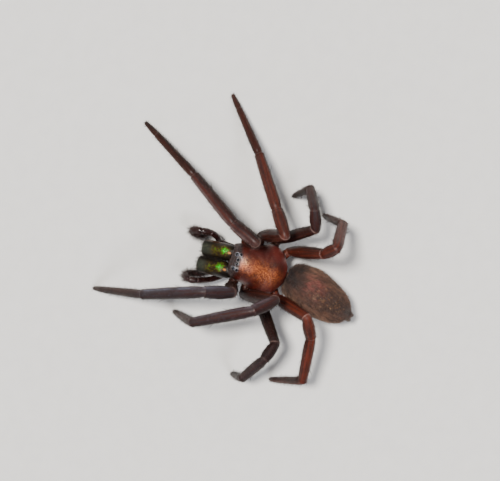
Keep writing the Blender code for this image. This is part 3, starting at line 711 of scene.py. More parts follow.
class Finish:
    """A Principled material with a few short ways to add nodes."""

    def __init__(self, name, **settings):
        self.material = bpy.data.materials.new(name)
        self.material.use_nodes = True
        self.tree = self.material.node_tree
        self.shader = self.tree.nodes["Principled BSDF"]
        for label, value in settings.items():
            self.shader.inputs[label.replace("_", " ")].default_value = value
        coordinates = self.tree.nodes.new("ShaderNodeTexCoord")
        self.place = self.vector("MULTIPLY", coordinates.outputs["Object"], (1000, 1000, 1000))

    def put(self, socket, value):
        if isinstance(value, bpy.types.NodeSocket):
            self.tree.links.new(value, socket)
        elif isinstance(value, tuple) and len(value) == 3 and socket.type == "RGBA":
            socket.default_value = (*value, 1.0)
        else:
            socket.default_value = value

    def vector(self, operation, a, b):
        node = self.tree.nodes.new("ShaderNodeVectorMath")
        node.operation = operation
        self.put(node.inputs[0], a)
        self.put(node.inputs[1], b)
        return node.outputs[0]

    def math(self, operation, a, b=0.5, clamp=False):
        node = self.tree.nodes.new("ShaderNodeMath")
        node.operation = operation
        node.use_clamp = clamp
        self.put(node.inputs[0], a)
        self.put(node.inputs[1], b)
        return node.outputs[0]

    def times(self, a, b, clamp=False):
        return self.math("MULTIPLY", a, b, clamp)

    def value(self, name):
        node = self.tree.nodes.new("ShaderNodeAttribute")
        node.attribute_name = name
        return node.outputs["Fac"]

    def noise(self, scale, detail=3.0, stretch=(1, 1, 1), rough=0.55):
        node = self.tree.nodes.new("ShaderNodeTexNoise")
        node.inputs["Scale"].default_value = scale
        node.inputs["Detail"].default_value = detail
        node.inputs["Roughness"].default_value = rough
        self.put(node.inputs["Vector"], self.vector("MULTIPLY", self.place, stretch))
        return node.outputs["Fac"]

    def streaks(self, around, along, detail=2.0):
        """Noise drawn out along a limb."""
        join = self.tree.nodes.new("ShaderNodeCombineXYZ")
        self.put(join.inputs[0], self.times(self.value("round_x"), around))
        self.put(join.inputs[1], self.times(self.value("round_y"), around))
        self.put(join.inputs[2], self.times(self.value("place"), along))
        node = self.tree.nodes.new("ShaderNodeTexNoise")
        node.inputs["Scale"].default_value = 1.0
        node.inputs["Detail"].default_value = detail
        self.put(node.inputs["Vector"], join.outputs[0])
        return node.outputs["Fac"]

    def cells(self, scale):
        node = self.tree.nodes.new("ShaderNodeTexVoronoi")
        node.inputs["Scale"].default_value = scale
        self.put(node.inputs["Vector"], self.place)
        return node.outputs["Distance"]

    def span(self, value, low, high, to_low=0.0, to_high=1.0):
        node = self.tree.nodes.new("ShaderNodeMapRange")
        node.interpolation_type = "SMOOTHSTEP"
        for socket, item in zip(node.inputs, (value, low, high, to_low, to_high)):
            self.put(socket, item)
        return node.outputs[0]

    def mix(self, share, a, b):
        node = self.tree.nodes.new("ShaderNodeMix")
        node.data_type = "RGBA"
        self.put(node.inputs["Factor"], share)
        self.put(node.inputs[6], a)
        self.put(node.inputs[7], b)
        return node.outputs[2]

    def ramp(self, value, stops):
        node = self.tree.nodes.new("ShaderNodeValToRGB")
        band = node.color_ramp
        while len(band.elements) < len(stops):
            band.elements.new(0.5)
        for element, (place, colour) in zip(band.elements, stops):
            element.position = place
            element.color = (*colour, 1.0)
        self.put(node.inputs[0], value)
        return node.outputs[0]

    def facing(self):
        """How far the surface faces up, from 0 sideways to 1 level."""
        node = self.tree.nodes.new("ShaderNodeNewGeometry")
        split = self.tree.nodes.new("ShaderNodeSeparateXYZ")
        self.put(split.inputs[0], node.outputs["Normal"])
        return split.outputs[2]

    def bump(self, height, strength, distance):
        """distance in millimetres"""
        node = self.tree.nodes.new("ShaderNodeBump")
        node.inputs["Strength"].default_value = strength
        node.inputs["Distance"].default_value = distance * MM
        self.put(node.inputs["Height"], height)
        self.put(self.shader.inputs["Normal"], node.outputs[0])

    def use(self, **links):
        for label, value in links.items():
            self.put(self.shader.inputs[label.replace("_", " ")], value)
        return self.material


def carapace_finish():
    f = Finish("carapace_cuticle_finish", Coat_Weight=0.12, Coat_Roughness=0.25, Specular_IOR_Level=0.5)
    broad = f.noise(0.9, 3)
    grain = f.noise(6.5, 4, rough=0.75)
    fine = f.noise(15.0, 2)
    # painted highlight: copper along the crown where the key light would shine, with the metal
    # following it
    copper_highlight = f.mix(f.span(grain, 0.38, 0.66), (0.13, 0.016, 0.006), (0.95, 0.270, 0.075))
    dark = f.mix(f.span(broad, 0.3, 0.7), (0.022, 0.0028, 0.0021), (0.072, 0.0085, 0.0055))
    # painted light: the spider's right side is lighter and redder where the key light falls
    dark = f.mix(f.value("painted_lit_right_side"), dark, (0.100, 0.0150, 0.0110))
    share = f.times(f.value("painted_crown_highlight"), f.span(broad, 0.25, 0.75, 0.55, 1.0))
    share = f.times(share, f.span(grain, 0.36, 0.58, 0.55, 1.0))
    colour = f.mix(share, dark, copper_highlight)
    # painted cream highlight just behind the eyes
    cream_highlight = f.times(f.value("painted_blaze"), f.span(grain, 0.42, 0.62, 0.0, 0.62))
    colour = f.mix(cream_highlight, colour, (0.95, 0.50, 0.22))
    colour = f.mix(f.value("furrow"), colour, (0.016, 0.004, 0.003))
    # painted shade down the sides and under the rim
    colour = f.mix(f.value("edge"), colour, (0.012, 0.004, 0.003))
    brow = f.mix(f.span(grain, 0.35, 0.68), (0.0060, 0.0030, 0.0032), (0.030, 0.0160, 0.0165))
    colour = f.mix(f.value("brow"), colour, brow)
    # painted bluish-white glint on the rims of the eyes
    colour = f.mix(f.value("pale"), colour, (0.60, 0.62, 0.72))
    height = f.math("ADD", grain, f.times(fine, 0.5))
    f.bump(height, 0.55, 0.05)
    metal = f.times(share, 0.62)
    rough = f.span(grain, 0.3, 0.7, 0.30, 0.46)
    return f.use(Base_Color=colour, Metallic=metal, Roughness=rough)


def leg_colours(f):
    """Colours of the legs, with painted sheen, highlight and shade, shared by their skins and their
    coats.
    """
    broad = f.noise(0.8, 3)
    streak = f.streaks(3.2, 0.22)
    red = f.times(f.value("red"), f.span(broad, 0.2, 0.8, 0.7, 1.15))
    red = f.times(red, f.span(streak, 0.34, 0.66, 0.45, 1.25), clamp=True)
    colour = f.mix(red, (0.0085, 0.0046, 0.0044), (0.140, 0.0245, 0.0115))
    # grey tone of the hair, painted stronger on upward faces as a sheen
    grey = f.times(f.value("grey"), f.span(f.facing(), 0.15, 0.85, 0.15, 0.62))
    grey = f.times(grey, f.span(streak, 0.62, 0.38, 0.45, 1.2), clamp=True)
    colour = f.mix(grey, colour, (0.046, 0.042, 0.050))
    # painted highlight line along the top, cool on grey legs and warm on red ones
    line = f.times(f.value("line"), f.span(broad, 0.30, 0.62, 0.25, 1.0), clamp=True)
    colour = f.mix(line, colour, f.mix(f.value("grey"), (0.150, 0.085, 0.066), (0.100, 0.105, 0.145)))
    # painted shade: the feet are darkened
    colour = f.mix(f.times(f.value("foot"), 0.45), colour, (0.0085, 0.0040, 0.0034))
    # painted shade: the lower side of each limb is darkened
    return f.mix(f.span(f.value("round_y"), -0.2, 0.85, 0.62, 0.0), colour, (0.0042, 0.0020, 0.0019))


def leg_finish():
    f = Finish("leg_cuticle_finish", Specular_IOR_Level=0.22, Coat_Weight=0.03, Coat_Roughness=0.36)
    grain = f.noise(6.0, 3, rough=0.6)
    fine = f.noise(16.0, 2)
    colour = f.mix(f.span(grain, 0.45, 0.75, 0.0, 0.25), leg_colours(f), (0.034, 0.009, 0.005))
    colour = f.mix(f.value("pale"), colour, (0.46, 0.29, 0.25))
    height = f.math("ADD", grain, f.times(fine, 0.6))
    f.bump(height, 0.35, 0.035)
    return f.use(Base_Color=colour, Roughness=f.span(grain, 0.3, 0.7, 0.36, 0.50))


def hair_finish(name, root, tip, glint, share=0.05, rough=0.5, sheen=0.03):
    """Finish of a coat: root and tip colours, and a share of tufts in the glint colour."""
    f = Finish(name, Roughness=rough, Specular_IOR_Level=0.35, Sheen_Weight=sheen,
               Sheen_Roughness=0.35, Sheen_Tint=(0.75, 0.72, 0.82, 1.0))
    chance = f.value("chance")
    colour = f.mix(f.value("tip"), root, tip)
    colour = f.mix(f.span(chance, 0.0, 1.0, 0.0, 0.5), colour, f.mix(0.5, tip, root))
    colour = f.mix(f.math("GREATER_THAN", chance, 1.0 - share), colour, glint)
    return f, colour


def leg_hair_finish():
    f = Finish("leg_hair", Roughness=0.45, Specular_IOR_Level=0.15)
    chance = f.value("chance")
    colour = f.mix(f.span(f.value("tip"), 0.0, 1.0, 0.0, 0.35), leg_colours(f), (0.060, 0.030, 0.022))
    colour = f.mix(f.span(chance, 0.1, 0.8, 0.0, 0.45), colour, (0.0075, 0.0045, 0.0040))
    glint = f.mix(f.value("grey"), (0.24, 0.115, 0.065), (0.20, 0.20, 0.30))
    lit = f.times(f.math("GREATER_THAN", chance, 0.93), f.span(f.facing(), 0.3, 0.9))
    return f.use(Base_Color=f.mix(lit, colour, glint))


def abdomen_colours(f):
    """Markings of the abdomen, with a painted sheen on the left flank, shared by its skin and its coat.
    """
    broad = f.noise(0.55, 3)
    patch = f.noise(1.6, 3, rough=0.6)
    streak = f.streaks(9.0, 0.75, 3.0)
    colour = f.mix(f.span(broad, 0.3, 0.7), (0.118, 0.050, 0.033), (0.262, 0.120, 0.075))
    # paler sides, painted lighter still on the left flank as a sheen
    colour = f.mix(f.times(f.value("flank"), 0.9), colour, (0.345, 0.200, 0.135))
    dusk = f.times(f.value("dusk"), f.span(patch, 0.25, 0.75, 0.55, 1.0))
    colour = f.mix(dusk, colour, (0.036, 0.024, 0.025))
    wine = f.times(f.value("wine"), f.span(patch, 0.3, 0.6))
    colour = f.mix(wine, colour, (0.420, 0.105, 0.092))
    colour = f.mix(f.span(streak, 0.54, 0.36, 0.0, 0.72), colour, (0.022, 0.013, 0.011))
    front = f.times(f.value("front"), f.span(patch, 0.25, 0.60, 0.45, 1.0))
    colour = f.mix(front, colour, (0.010, 0.011, 0.016))
    return f.mix(f.value("heart"), colour, (0.016, 0.011, 0.010))


def abdomen_finish():
    f = Finish("abdomen_skin_finish", Roughness=0.75, Specular_IOR_Level=0.3, Sheen_Weight=0.05,
               Sheen_Roughness=0.5, Sheen_Tint=(0.70, 0.66, 0.70, 1.0))
    colour = f.mix(0.35, abdomen_colours(f), (0.02, 0.016, 0.015))
    colour = f.mix(f.value("pale"), colour, (0.20, 0.14, 0.11))
    f.bump(f.noise(9.0, 3, rough=0.7), 0.5, 0.05)
    return f.use(Base_Color=colour)


def abdomen_hair_finish():
    f = Finish("abdomen_velvet_finish", Roughness=0.45, Specular_IOR_Level=0.4, Sheen_Weight=0.05,
               Sheen_Roughness=0.35, Sheen_Tint=(0.78, 0.74, 0.80, 1.0))
    colour = abdomen_colours(f)
    chance = f.value("chance")
    colour = f.mix(f.span(f.value("tip"), 0.2, 1.0, 0.0, 0.22), colour, (0.36, 0.24, 0.17))
    colour = f.mix(f.span(chance, 0.45, 0.95, 0.0, 0.70), colour, (0.014, 0.009, 0.008))
    return f.use(Base_Color=colour)


def abdomen_glint_finish():
    f = Finish("abdomen_glint_finish", Roughness=0.36, Specular_IOR_Level=0.5)
    bright = f.mix(f.span(f.value("chance"), 0.2, 0.9), (0.55, 0.20, 0.06), (0.95, 0.62, 0.36))
    return f.use(Base_Color=f.mix(f.span(f.value("tip"), 0.55, 0.70), (0.030, 0.016, 0.012), bright))


def chelicera_finish():
    f = Finish("chelicera_cuticle_finish", Specular_IOR_Level=0.22)
    grain = f.noise(6.0, 3, rough=0.65)
    flakes = f.span(f.noise(4.4, 4, stretch=(1.0, 0.6, 1.0), rough=0.75), 0.38, 0.60, 0.22, 1.25)
    facets = f.span(f.cells(5.2), 0.66, 0.26, 0.50, 1.20)
    # iridescent green, painted brighter in a patch as a highlight
    green_and_glint = f.times(f.times(flakes, facets), f.value("green_and_glint"), clamp=True)
    colour = f.ramp(green_and_glint, (
        (0.00, (0.0050, 0.0034, 0.0022)),
        (0.14, (0.036, 0.0220, 0.0048)),
        (0.26, (0.108, 0.0880, 0.0080)),
        (0.42, (0.020, 0.150, 0.006)),
        (0.62, (0.006, 0.330, 0.006)),
        (1.00, (0.022, 0.640, 0.014)),
    ))
    # painted grey-green sheen over the top of the jaw's front half
    painted_top_sheen = f.times(f.value("painted_top_sheen"), f.span(grain, 0.3, 0.7, 0.55, 1.0))
    colour = f.mix(f.times(painted_top_sheen, 0.80), colour, (0.052, 0.062, 0.044))
    colour = f.mix(f.value("flank"), colour, (0.110, 0.040, 0.014))
    colour = f.mix(f.value("orange"), colour, (0.55, 0.20, 0.05))
    lit = f.span(green_and_glint, 0.12, 0.45)
    metal = f.times(lit, 0.50)
    f.bump(f.math("ADD", grain, f.noise(15.0, 2)), 0.40, 0.04)
    rough = f.math("ADD", f.span(grain, 0.3, 0.7, 0.26, 0.40), f.times(lit, 0.24))
    return f.use(Base_Color=colour, Metallic=metal, Roughness=rough)


def eye_finish():
    f = Finish("eye_lens_finish", Roughness=0.10, Coat_Weight=0.25, Coat_Roughness=0.03,
               Specular_IOR_Level=0.45)
    # pale bluish ring near the edge of each lens: the eye's pearly rim, brightened as a painted glint
    colour = f.ramp(f.value("ring"), (
        (0.00, (0.003, 0.003, 0.005)),
        (0.60, (0.005, 0.006, 0.010)),
        (0.70, (0.12, 0.16, 0.24)),
        (0.80, (0.56, 0.63, 0.77)),
        (0.92, (0.05, 0.045, 0.05)),
        (1.00, (0.010, 0.006, 0.005)),
    ))
    return f.use(Base_Color=colour)


def plain_finish(name, dark, light, rough, scale=3.0, bump=0.4, pale=(0.50, 0.34, 0.28), **settings):
    f = Finish(name, **settings)
    grain = f.noise(scale, 3, rough=0.6)
    colour = f.mix(f.span(grain, 0.3, 0.7), dark, light)
    colour = f.mix(f.value("pale"), colour, pale)
    f.bump(grain, bump, 0.04)
    return f.use(Base_Color=colour, Roughness=f.span(grain, 0.3, 0.7, rough - 0.08, rough + 0.10))


# Carapace and eyes


def carapace_half(y):
    """Half width and crown height of the carapace at a place along it."""
    return read_shape(CARAPACE_SHAPE, (y - CARAPACE_FRONT_Y) / (CARAPACE_REAR_Y - CARAPACE_FRONT_Y))


def carapace_top(x, y):
    """Point on the upper surface of the carapace."""
    half_width, crown = carapace_half(y)
    cosine = min(abs(x) / half_width, 1.0) ** (1 / CARAPACE_FLAT)
    return Vector((x, y, CARAPACE_RIM_Z + crown * math.sqrt(1 - cosine * cosine)))


def eye_places():
    """Name, centre, outward direction and radius of each of the six eyes."""
    places = []
    for pair, (off_middle, behind, radius) in EYE_PAIRS.items():
        for side in (RIGHT, LEFT):
            x, y = side * off_middle, CARAPACE_FRONT_Y + behind
            top = carapace_top(x, y)
            slope_x = carapace_top(x + SLOPE_STEP, y) - top
            slope_y = carapace_top(x, y + SLOPE_STEP) - top
            outward = slope_x.cross(slope_y).normalized()
            centre = top - outward * radius * EYE_SUNK
            places.append((f"eye_{pair}_{SIDE_NAMES[side]}", centre, outward, radius))
    return places


def furrow_depth(x, y):
    """Depth of the furrows and of the pit they meet in, and how dark they are."""
    depth, dark = 0.0, 0.0
    for end_x, end_y, deep, width in FURROWS:
        run_x, run_y = end_x, end_y - FOVEA_Y
        length = math.hypot(run_x, run_y)
        share = (abs(x) * run_x + (y - FOVEA_Y) * run_y) / length ** 2
        off = abs(abs(x) * run_y - (y - FOVEA_Y) * run_x) / length
        fade = float(smooth(share, 0.06, 0.30) * (1 - smooth(share, 0.80, 1.02)))
        cut = fade * math.exp(-(off / width) ** 2)
        depth += deep * cut
        dark = max(dark, cut * deep / 0.034)
    pit = math.exp(-(x / 0.10) ** 2 - ((y - FOVEA_Y) / 0.42) ** 2)
    return depth + 0.09 * pit, min(max(dark, pit), 1.0)


def eye_relief(x, y, eyes):
    """Height of the swelling round the eyes, and a painted glint on their rims, strongest ahead of
    each.
    """
    height, eye_glint = 0.0, 0.0
    swell, swell_place, swell_width = EYE_RELIEF
    glint_place, glint_width = EYE_GLINT
    for _, centre, _, radius in eyes:
        off = math.dist((x, y), centre.xy)
        if off < 3 * radius:
            height += swell * bump(off, radius * swell_place, radius * swell_width)
            band = bump(off, radius * glint_place, radius * glint_width)
            ahead_of_eye = (centre.y - y) * 0.8 + (centre.x - x) * 0.6
            eye_glint = max(eye_glint, band * (0.40 + 0.75 * max(ahead_of_eye / max(off, 1e-6), 0.0)))
    return height, eye_glint


def carapace_values(x, y, sine, half_width, dark, eye_glint):
    """What the finish and the coat read at one point of the carapace."""
    ahead = (y - CARAPACE_FRONT_Y) / (CARAPACE_REAR_Y - CARAPACE_FRONT_Y)
    above = sine > 0
    # painted copper highlight along the crown
    middle = bump(x / half_width, HIGHLIGHT_DRIFT * ahead, HIGHLIGHT_WIDTH)
    middle *= float(smooth(ahead, *HIGHLIGHT_RISE) * (1 - smooth(ahead, *HIGHLIGHT_FALL)))
    broken = 0.45 + 0.9 * noise.noise(Vector((x * 4.3, y * 4.3, 0.5)))
    spread = ((x - PAINTED_BLAZE[0]) / PAINTED_BLAZE[2]) ** 2 + ((y - PAINTED_BLAZE[1]) / PAINTED_BLAZE[3]) ** 2
    return {
        "painted_crown_highlight": middle if above else 0.0,
        # painted shade towards the rim, stronger on the left
        "edge": float(1 - smooth(sine, 0.04, 0.40)) * EDGE_SHADE[LEFT if x > 0 else RIGHT],
        "furrow": min(dark, 1.0) * 0.22,
        # here pale is the painted glint on the eye rims
        "pale": min(eye_glint, 1.0) * min(max(broken, 0.0), 1.0),
        "hair": 1.0 if sine > 0.12 else 0.0,
        "brow": float(1 - smooth(ahead, *BROW_END)) if above else 1.0,
        "painted_blaze": math.exp(-spread) if above else 0.0,
        # right side painted lighter and redder, as lit
        "painted_lit_right_side": float(smooth(-x / half_width, 0.25, 0.80) * smooth(ahead, 0.20, 0.45)) * 0.75,
    }


def carapace_skin():
    skin = Skin()
    eyes = eye_places()
    rows = []
    for step in range(CARAPACE_RINGS):
        sweep = step / (CARAPACE_RINGS - 1)
        rows.append((((1 - math.cos(math.pi * sweep)) / 2 + sweep) / 2, 1.0, 0.0))
    for share, scale, out in (*CARAPACE_FRONT_RINGS, *rows, *CARAPACE_REAR_RINGS):
        y = CARAPACE_FRONT_Y + (CARAPACE_REAR_Y - CARAPACE_FRONT_Y) * share
        half_width, crown = carapace_half(y)
        middle_z = CARAPACE_RIM_Z + crown * 0.25
        ring, values = [], []
        for cosine, sine in steps_round(CARAPACE_SIDES):
            x = half_width * math.copysign(abs(cosine) ** CARAPACE_FLAT, cosine)
            dark, eye_glint = 0.0, 0.0
            if sine < 0:
                lowest = CARAPACE_FLOOR_Z - CARAPACE_RIM_Z
                x *= 1 - (1 - CARAPACE_FOOT) * min(-sine * 6, 1)
                z = CARAPACE_RIM_Z + lowest * min(-sine * 4, 1)
            else:
                cut, dark = furrow_depth(x, y)
                dark *= sine ** 0.5
                x *= 1 + 0.012 * bump(sine, 0.06, 0.07)
                height, eye_glint = eye_relief(x, y, eyes)
                z = CARAPACE_RIM_Z + crown * sine - cut * sine ** 0.5 + height
            ring.append(Vector((x * scale, y + out, middle_z + (z - middle_z) * scale)))
            values.append(carapace_values(x, y, sine, half_width, dark, eye_glint))
        skin.add(ring, **gather(values))
    return skin.settle()


def build_carapace():
    skin = carapace_skin()
    link_skins("carapace_shield", [skin], carapace_finish(), ["carapace"])
    coat = Coat(11)
    lie = np.zeros_like(skin.points)
    lie[..., 1] = -1.0
    lie[..., 0] = -0.35 * np.sign(skin.points[..., 0])
    lie[..., 2] = 0.3
    density = skin.values["hair"]
    coat.grow(skin, CARAPACE_TUFT, density=density, lie=lie)
    # short pale hair about the eyes and over the brow
    coat.grow(skin, BROW_TUFT, density=density * skin.values["brow"] + 1e-6, lie=lie)
    f, colour = hair_finish("carapace_hair", (0.030, 0.006, 0.004), (0.15, 0.045, 0.016),
                            (0.50, 0.30, 0.16), 0.06)
    frosted = f.times(f.value("brow"), f.span(f.value("chance"), 0.25, 0.85))
    colour = f.mix(frosted, colour, (0.12, 0.095, 0.095))
    coat.build("carapace_coat", f.use(Base_Color=colour), "carapace_cuticle")


def build_eyes():
    finish = eye_finish()
    for name, centre, outward, radius in eye_places():
        across, upward = side_axes(outward)
        skin = Skin()
        for step in range(1, EYE_RINGS):
            angle = math.pi * step / EYE_RINGS
            spot = centre + outward * radius * EYE_SWELL * math.cos(angle)
            wide = radius * EYE_SWELL * math.sin(angle)
            ring = oval(spot, across, upward, wide, wide, EYE_SIDES)
            skin.add(ring, ring=min(angle / (math.pi * 0.52), 1.0))
        skin.settle()
        link_skins(name + "_lens", [skin], finish, [name])


# Limbs


def joint_normal(before, after):
    """Unit normal of the plane that halves a bend, pointing onward."""
    return (before.normalized() + after.normalized()).normalized()


def fall(length, lift):
    return -length * math.sin(math.radians(lift))


def tarsus_lift(metatarsus_lift):
    return max(metatarsus_lift - TARSUS_DROOP, -STEEPEST_FOOT)


def foot_lift(height, metatarsus, tarsus):
    """Lift of the metatarsus that lets the tip of the tarsus down onto the floor."""
    steep, shallow = -STEEPEST_FOOT, 0.0
    for _ in range(HALVINGS):
        lift = (steep + shallow) / 2
        drop = fall(metatarsus, lift) + fall(tarsus, tarsus_lift(lift))
        if drop > height:
            steep = lift
        else:
            shallow = lift
    return lift


def leg_points(number, side):
    """Joints of one leg, from the root of its coxa to the tip of its foot."""
    lengths, pose = LEG_LENGTHS[number], LEG_POSE[number, side]
    off_middle, y = COXA_ROOTS[number]
    points = [Vector((side * off_middle, y, COXA_ROOT_Z))]
    off_middle, y = HIPS[number]
    points.append(Vector((side * off_middle, y, HIP_Z)))
    for name in ("femur", "patella", "tibia"):
        points.append(points[-1] + direction(side, *pose[name]) * lengths[name])
    lift = foot_lift(points[-1].z, lengths["metatarsus"], lengths["tarsus"])
    points.append(points[-1] + direction(side, pose["foot"], lift) * lengths["metatarsus"])
    points.append(points[-1] + direction(side, pose["foot"], tarsus_lift(lift)) * lengths["tarsus"])
    return points


def joint_ring(joint, axis, normal, spokes, inner_end, share):
    """One ring near a joint. share is 0 where the length is straight and 1 on the joint's plane."""
    bend = axis.angle(normal)
    hinge = axis.cross(normal)
    hinge = hinge.normalized() if hinge.length > 1e-5 else side_axes(axis)[0]
    steepest = max(max(-spoke.dot(normal) for spoke in spokes), 1e-6)
    longest = spokes[0].length * INNER_STRETCH
    turn = Quaternion(hinge, bend * share)
    ring = []
    for spoke in spokes:
        lean = spoke.dot(normal)
        if lean >= 0:
            offset = turn @ spoke + axis * JOINT_DEPTH * (1 - share)
        else:
            crossing = -lean / axis.dot(normal)
            straight = -lean / steepest * inner_end + JOINT_DEPTH
            offset = spoke + axis * (straight * (1 - share) + crossing * share)
            if share == 1.0 and offset.length > longest:
                offset *= longest / offset.length
        point = joint + offset
        depth = (point - joint).dot(normal)
        ring.append(point - normal * depth if depth < 0 else point)
    return ring


def limb_skin(points, forms, build, paleness, sink=0.0, **tags):
    """One skin along a bent limb, with a rim and a soft fold at each joint."""
    headings = [(b - a).normalized() for a, b in zip(points, points[1:])]
    frames = [side_axes(headings[0])]
    for before, after in zip(headings, headings[1:]):
        turn = before.rotation_difference(after)
        frames.append((turn @ frames[-1][0], turn @ frames[-1][1]))
    last = len(headings) - 1
    skin = Skin()
    walked = 0.0

    def spokes(index, share, size=1.0):
        radius, shape = forms[index]
        wide = radius * build * SKIN_SHARE * size * read_shape(shape, share)[0]
        return oval(Vector(), *frames[index], wide, wide, LIMB_SIDES)

    def inner_end(index, share, normal):
        size = spokes(index, share)[0].length
        lean = min(abs(headings[index].dot(normal)), 1.0)
        length = (points[index + 1] - points[index]).length
        return min(size * math.sqrt(1 - lean * lean) / lean * INNER_REACH, LONGEST_BEND * length)

    turns = np.arange(LIMB_SIDES) * 2 * math.pi / LIMB_SIDES

    # mask of the painted highlight line along the top of the limb
    top = np.exp(-((turns - math.pi / 2) / HIGHLIGHT_LINE_WIDTH) ** 2)

    def put(ring, part, pale, place):
        # the feet get painted shade and less of the painted sheen and highlight line
        foot = float(smooth(part, 3.90, 4.15))
        grey = tags["grey"] * (0.0 if part < 1.9 else 1.0 - 0.85 * foot)
        line = tags["line"] * float(smooth(part, 1.95, 2.15)) * (1.0 - 0.75 * foot)
        skin.add(ring, part=part, pale=pale, place=place, red=tags["red"], grey=grey, foot=foot,
                 line=top * line, round_x=np.cos(turns), round_y=np.sin(turns))

    for k, heading in enumerate(headings):
        start, end = points[k], points[k + 1]
        length = (end - start).length
        first = -sink if k == 0 else 0.0
        final = length
        if k > 0:
            normal = joint_normal(headings[k - 1], heading)
            reach = inner_end(k, 0.0, normal)
            for share, size, pale in JOINT_AFTER:
                ring = joint_ring(start, heading, normal, spokes(k, 0.0, size), reach, share)
                put(ring, k, pale * paleness[k - 1], walked)
            first = reach + JOINT_DEPTH + JOINT_CLEAR
        if k < last:
            normal = joint_normal(heading, headings[k + 1])
            reach = inner_end(k, 1.0, normal)
            final = length - reach - JOINT_DEPTH - JOINT_CLEAR
        else:
            final = length - TIP_LENGTH
        count = max(int((final - first) / RING_STEP), 3)
        for step in range(count):
            place = first + (final - first) * step / (count - 1)
            centre = start + heading * place
            share = min(max(place / length, 0.0), 1.0)
            put([centre + spoke for spoke in spokes(k, share)], k + share, 0.0, walked + place)
        if k < last:
            for share, size, pale in JOINT_BEFORE:
                ring = joint_ring(end, -heading, -normal, spokes(k, 1.0, size), reach, share)
                put(ring, k + 0.99, pale * paleness[k], walked + length)
            share, size, pale = JOINT_MIDDLE
            after = forms[k + 1][0] * read_shape(forms[k + 1][1], 0.0)[0]
            before = forms[k][0] * read_shape(forms[k][1], 1.0)[0]
            size *= (1 + after / before) / 2
            ring = joint_ring(end, -heading, -normal, spokes(k, 1.0, size), reach, share)
            put(ring, k + 0.995, pale * paleness[k], walked + length)
        else:
            for back, size in TIP_RINGS:
                centre = end - heading * back
                put([centre + spoke for spoke in spokes(k, 1.0, size)], k + 1, 0.0, walked + length)
        walked += length
    skin.settle()
    skin.points[..., 2] = np.maximum(skin.points[..., 2], 0.012)
    return skin


def spike(root, heading, upward, length, radius, bend=0.25, sides=6, rings=6, tip=0.1, **tags):
    """Thin tapered spine or claw that bends toward upward."""
    skin = Skin()
    for step in range(rings):
        t = step / (rings - 1)
        centre = root + heading * length * t + upward * length * bend * t * t
        lean = (heading + upward * 2 * bend * t).normalized()
        across, tall = side_axes(lean)
        wide = radius * ((1 - t) ** 0.8 * (1 - tip) + tip)
        ring = oval(centre, across, tall, wide, wide, sides)
        for point in ring:
            point.z = max(point.z, 0.004)
        skin.add(ring, **tags)
    return skin.settle()


# spines of a leg: part, share along it, degrees round from its upper side
SPINES_FRONT = (
    (1, 0.30, 20), (1, 0.55, -20), (1, 0.80, 25),
    (3, 0.18, 150), (3, 0.18, -150), (3, 0.48, 152), (3, 0.48, -152), (3, 0.82, 155), (3, 0.82, -155),
    (3, 0.35, 75), (3, 0.65, -75),
    (4, 0.10, 150), (4, 0.10, -150), (4, 0.42, 152), (4, 0.42, -152), (4, 0.85, 155), (4, 0.85, -155),
)
SPINES_REAR = (
    (1, 0.40, 15), (1, 0.75, -20),
    (3, 0.30, 140), (3, 0.60, -140), (3, 0.85, 150), (3, 0.45, 70), (3, 0.70, -70),
    (4, 0.20, 140), (4, 0.45, -140), (4, 0.75, 60), (4, 0.88, 150), (4, 0.88, -150),
)
SPINE_LENGTH = 0.85
SPINE_RADIUS = 0.042
SPINE_LIFT = 34.0


def spines_of(number, side, points):
    """Spines standing out of the femur, tibia and metatarsus."""
    found = []
    table = SPINES_FRONT if number < 3 else SPINES_REAR
    for part, share, round_by in table:
        start, end = points[part], points[part + 1]
        heading = (end - start).normalized()
        across, upward = side_axes(heading)
        turn = math.radians(round_by) * side
        outward = upward * math.cos(turn) + across * math.sin(turn)
        radius, shape = LEG_FORMS[part]
        wide = radius * LEG_BUILD[number] * SKIN_SHARE * read_shape(shape, share)[0]
        root = start.lerp(end, share) + outward * wide * 0.93
        lift = math.radians(SPINE_LIFT)
        aim = heading * math.cos(lift) + outward * math.sin(lift)
        length = SPINE_LENGTH * (1.0 if part != 1 else 0.75)
        if (root + aim * length).z < 0.05:
            continue
        found.append(spike(root, aim, heading, length, SPINE_RADIUS, bend=0.18, pale=0.0))
    return found


def claws_of(points):
    """Two curved claws at the tip of a foot."""
    heading = (points[-1] - points[-2]).normalized()
    across = side_axes(heading)[0]
    level = Vector((heading.x, heading.y, 0)).normalized()
    tip = points[-1] - heading * 0.10
    tip.z = max(tip.z, 0.20)
    found = []
    for sideways in (-1, 1):
        root = tip + across * sideways * 0.09 - heading * 0.12
        aim = (level * 0.9 + across * sideways * 0.25 + UP * 0.10).normalized()
        found.append(spike(root, aim, -UP * 0.7, 0.42, 0.048, bend=0.55, tip=0.12, pale=0.0))
    return found


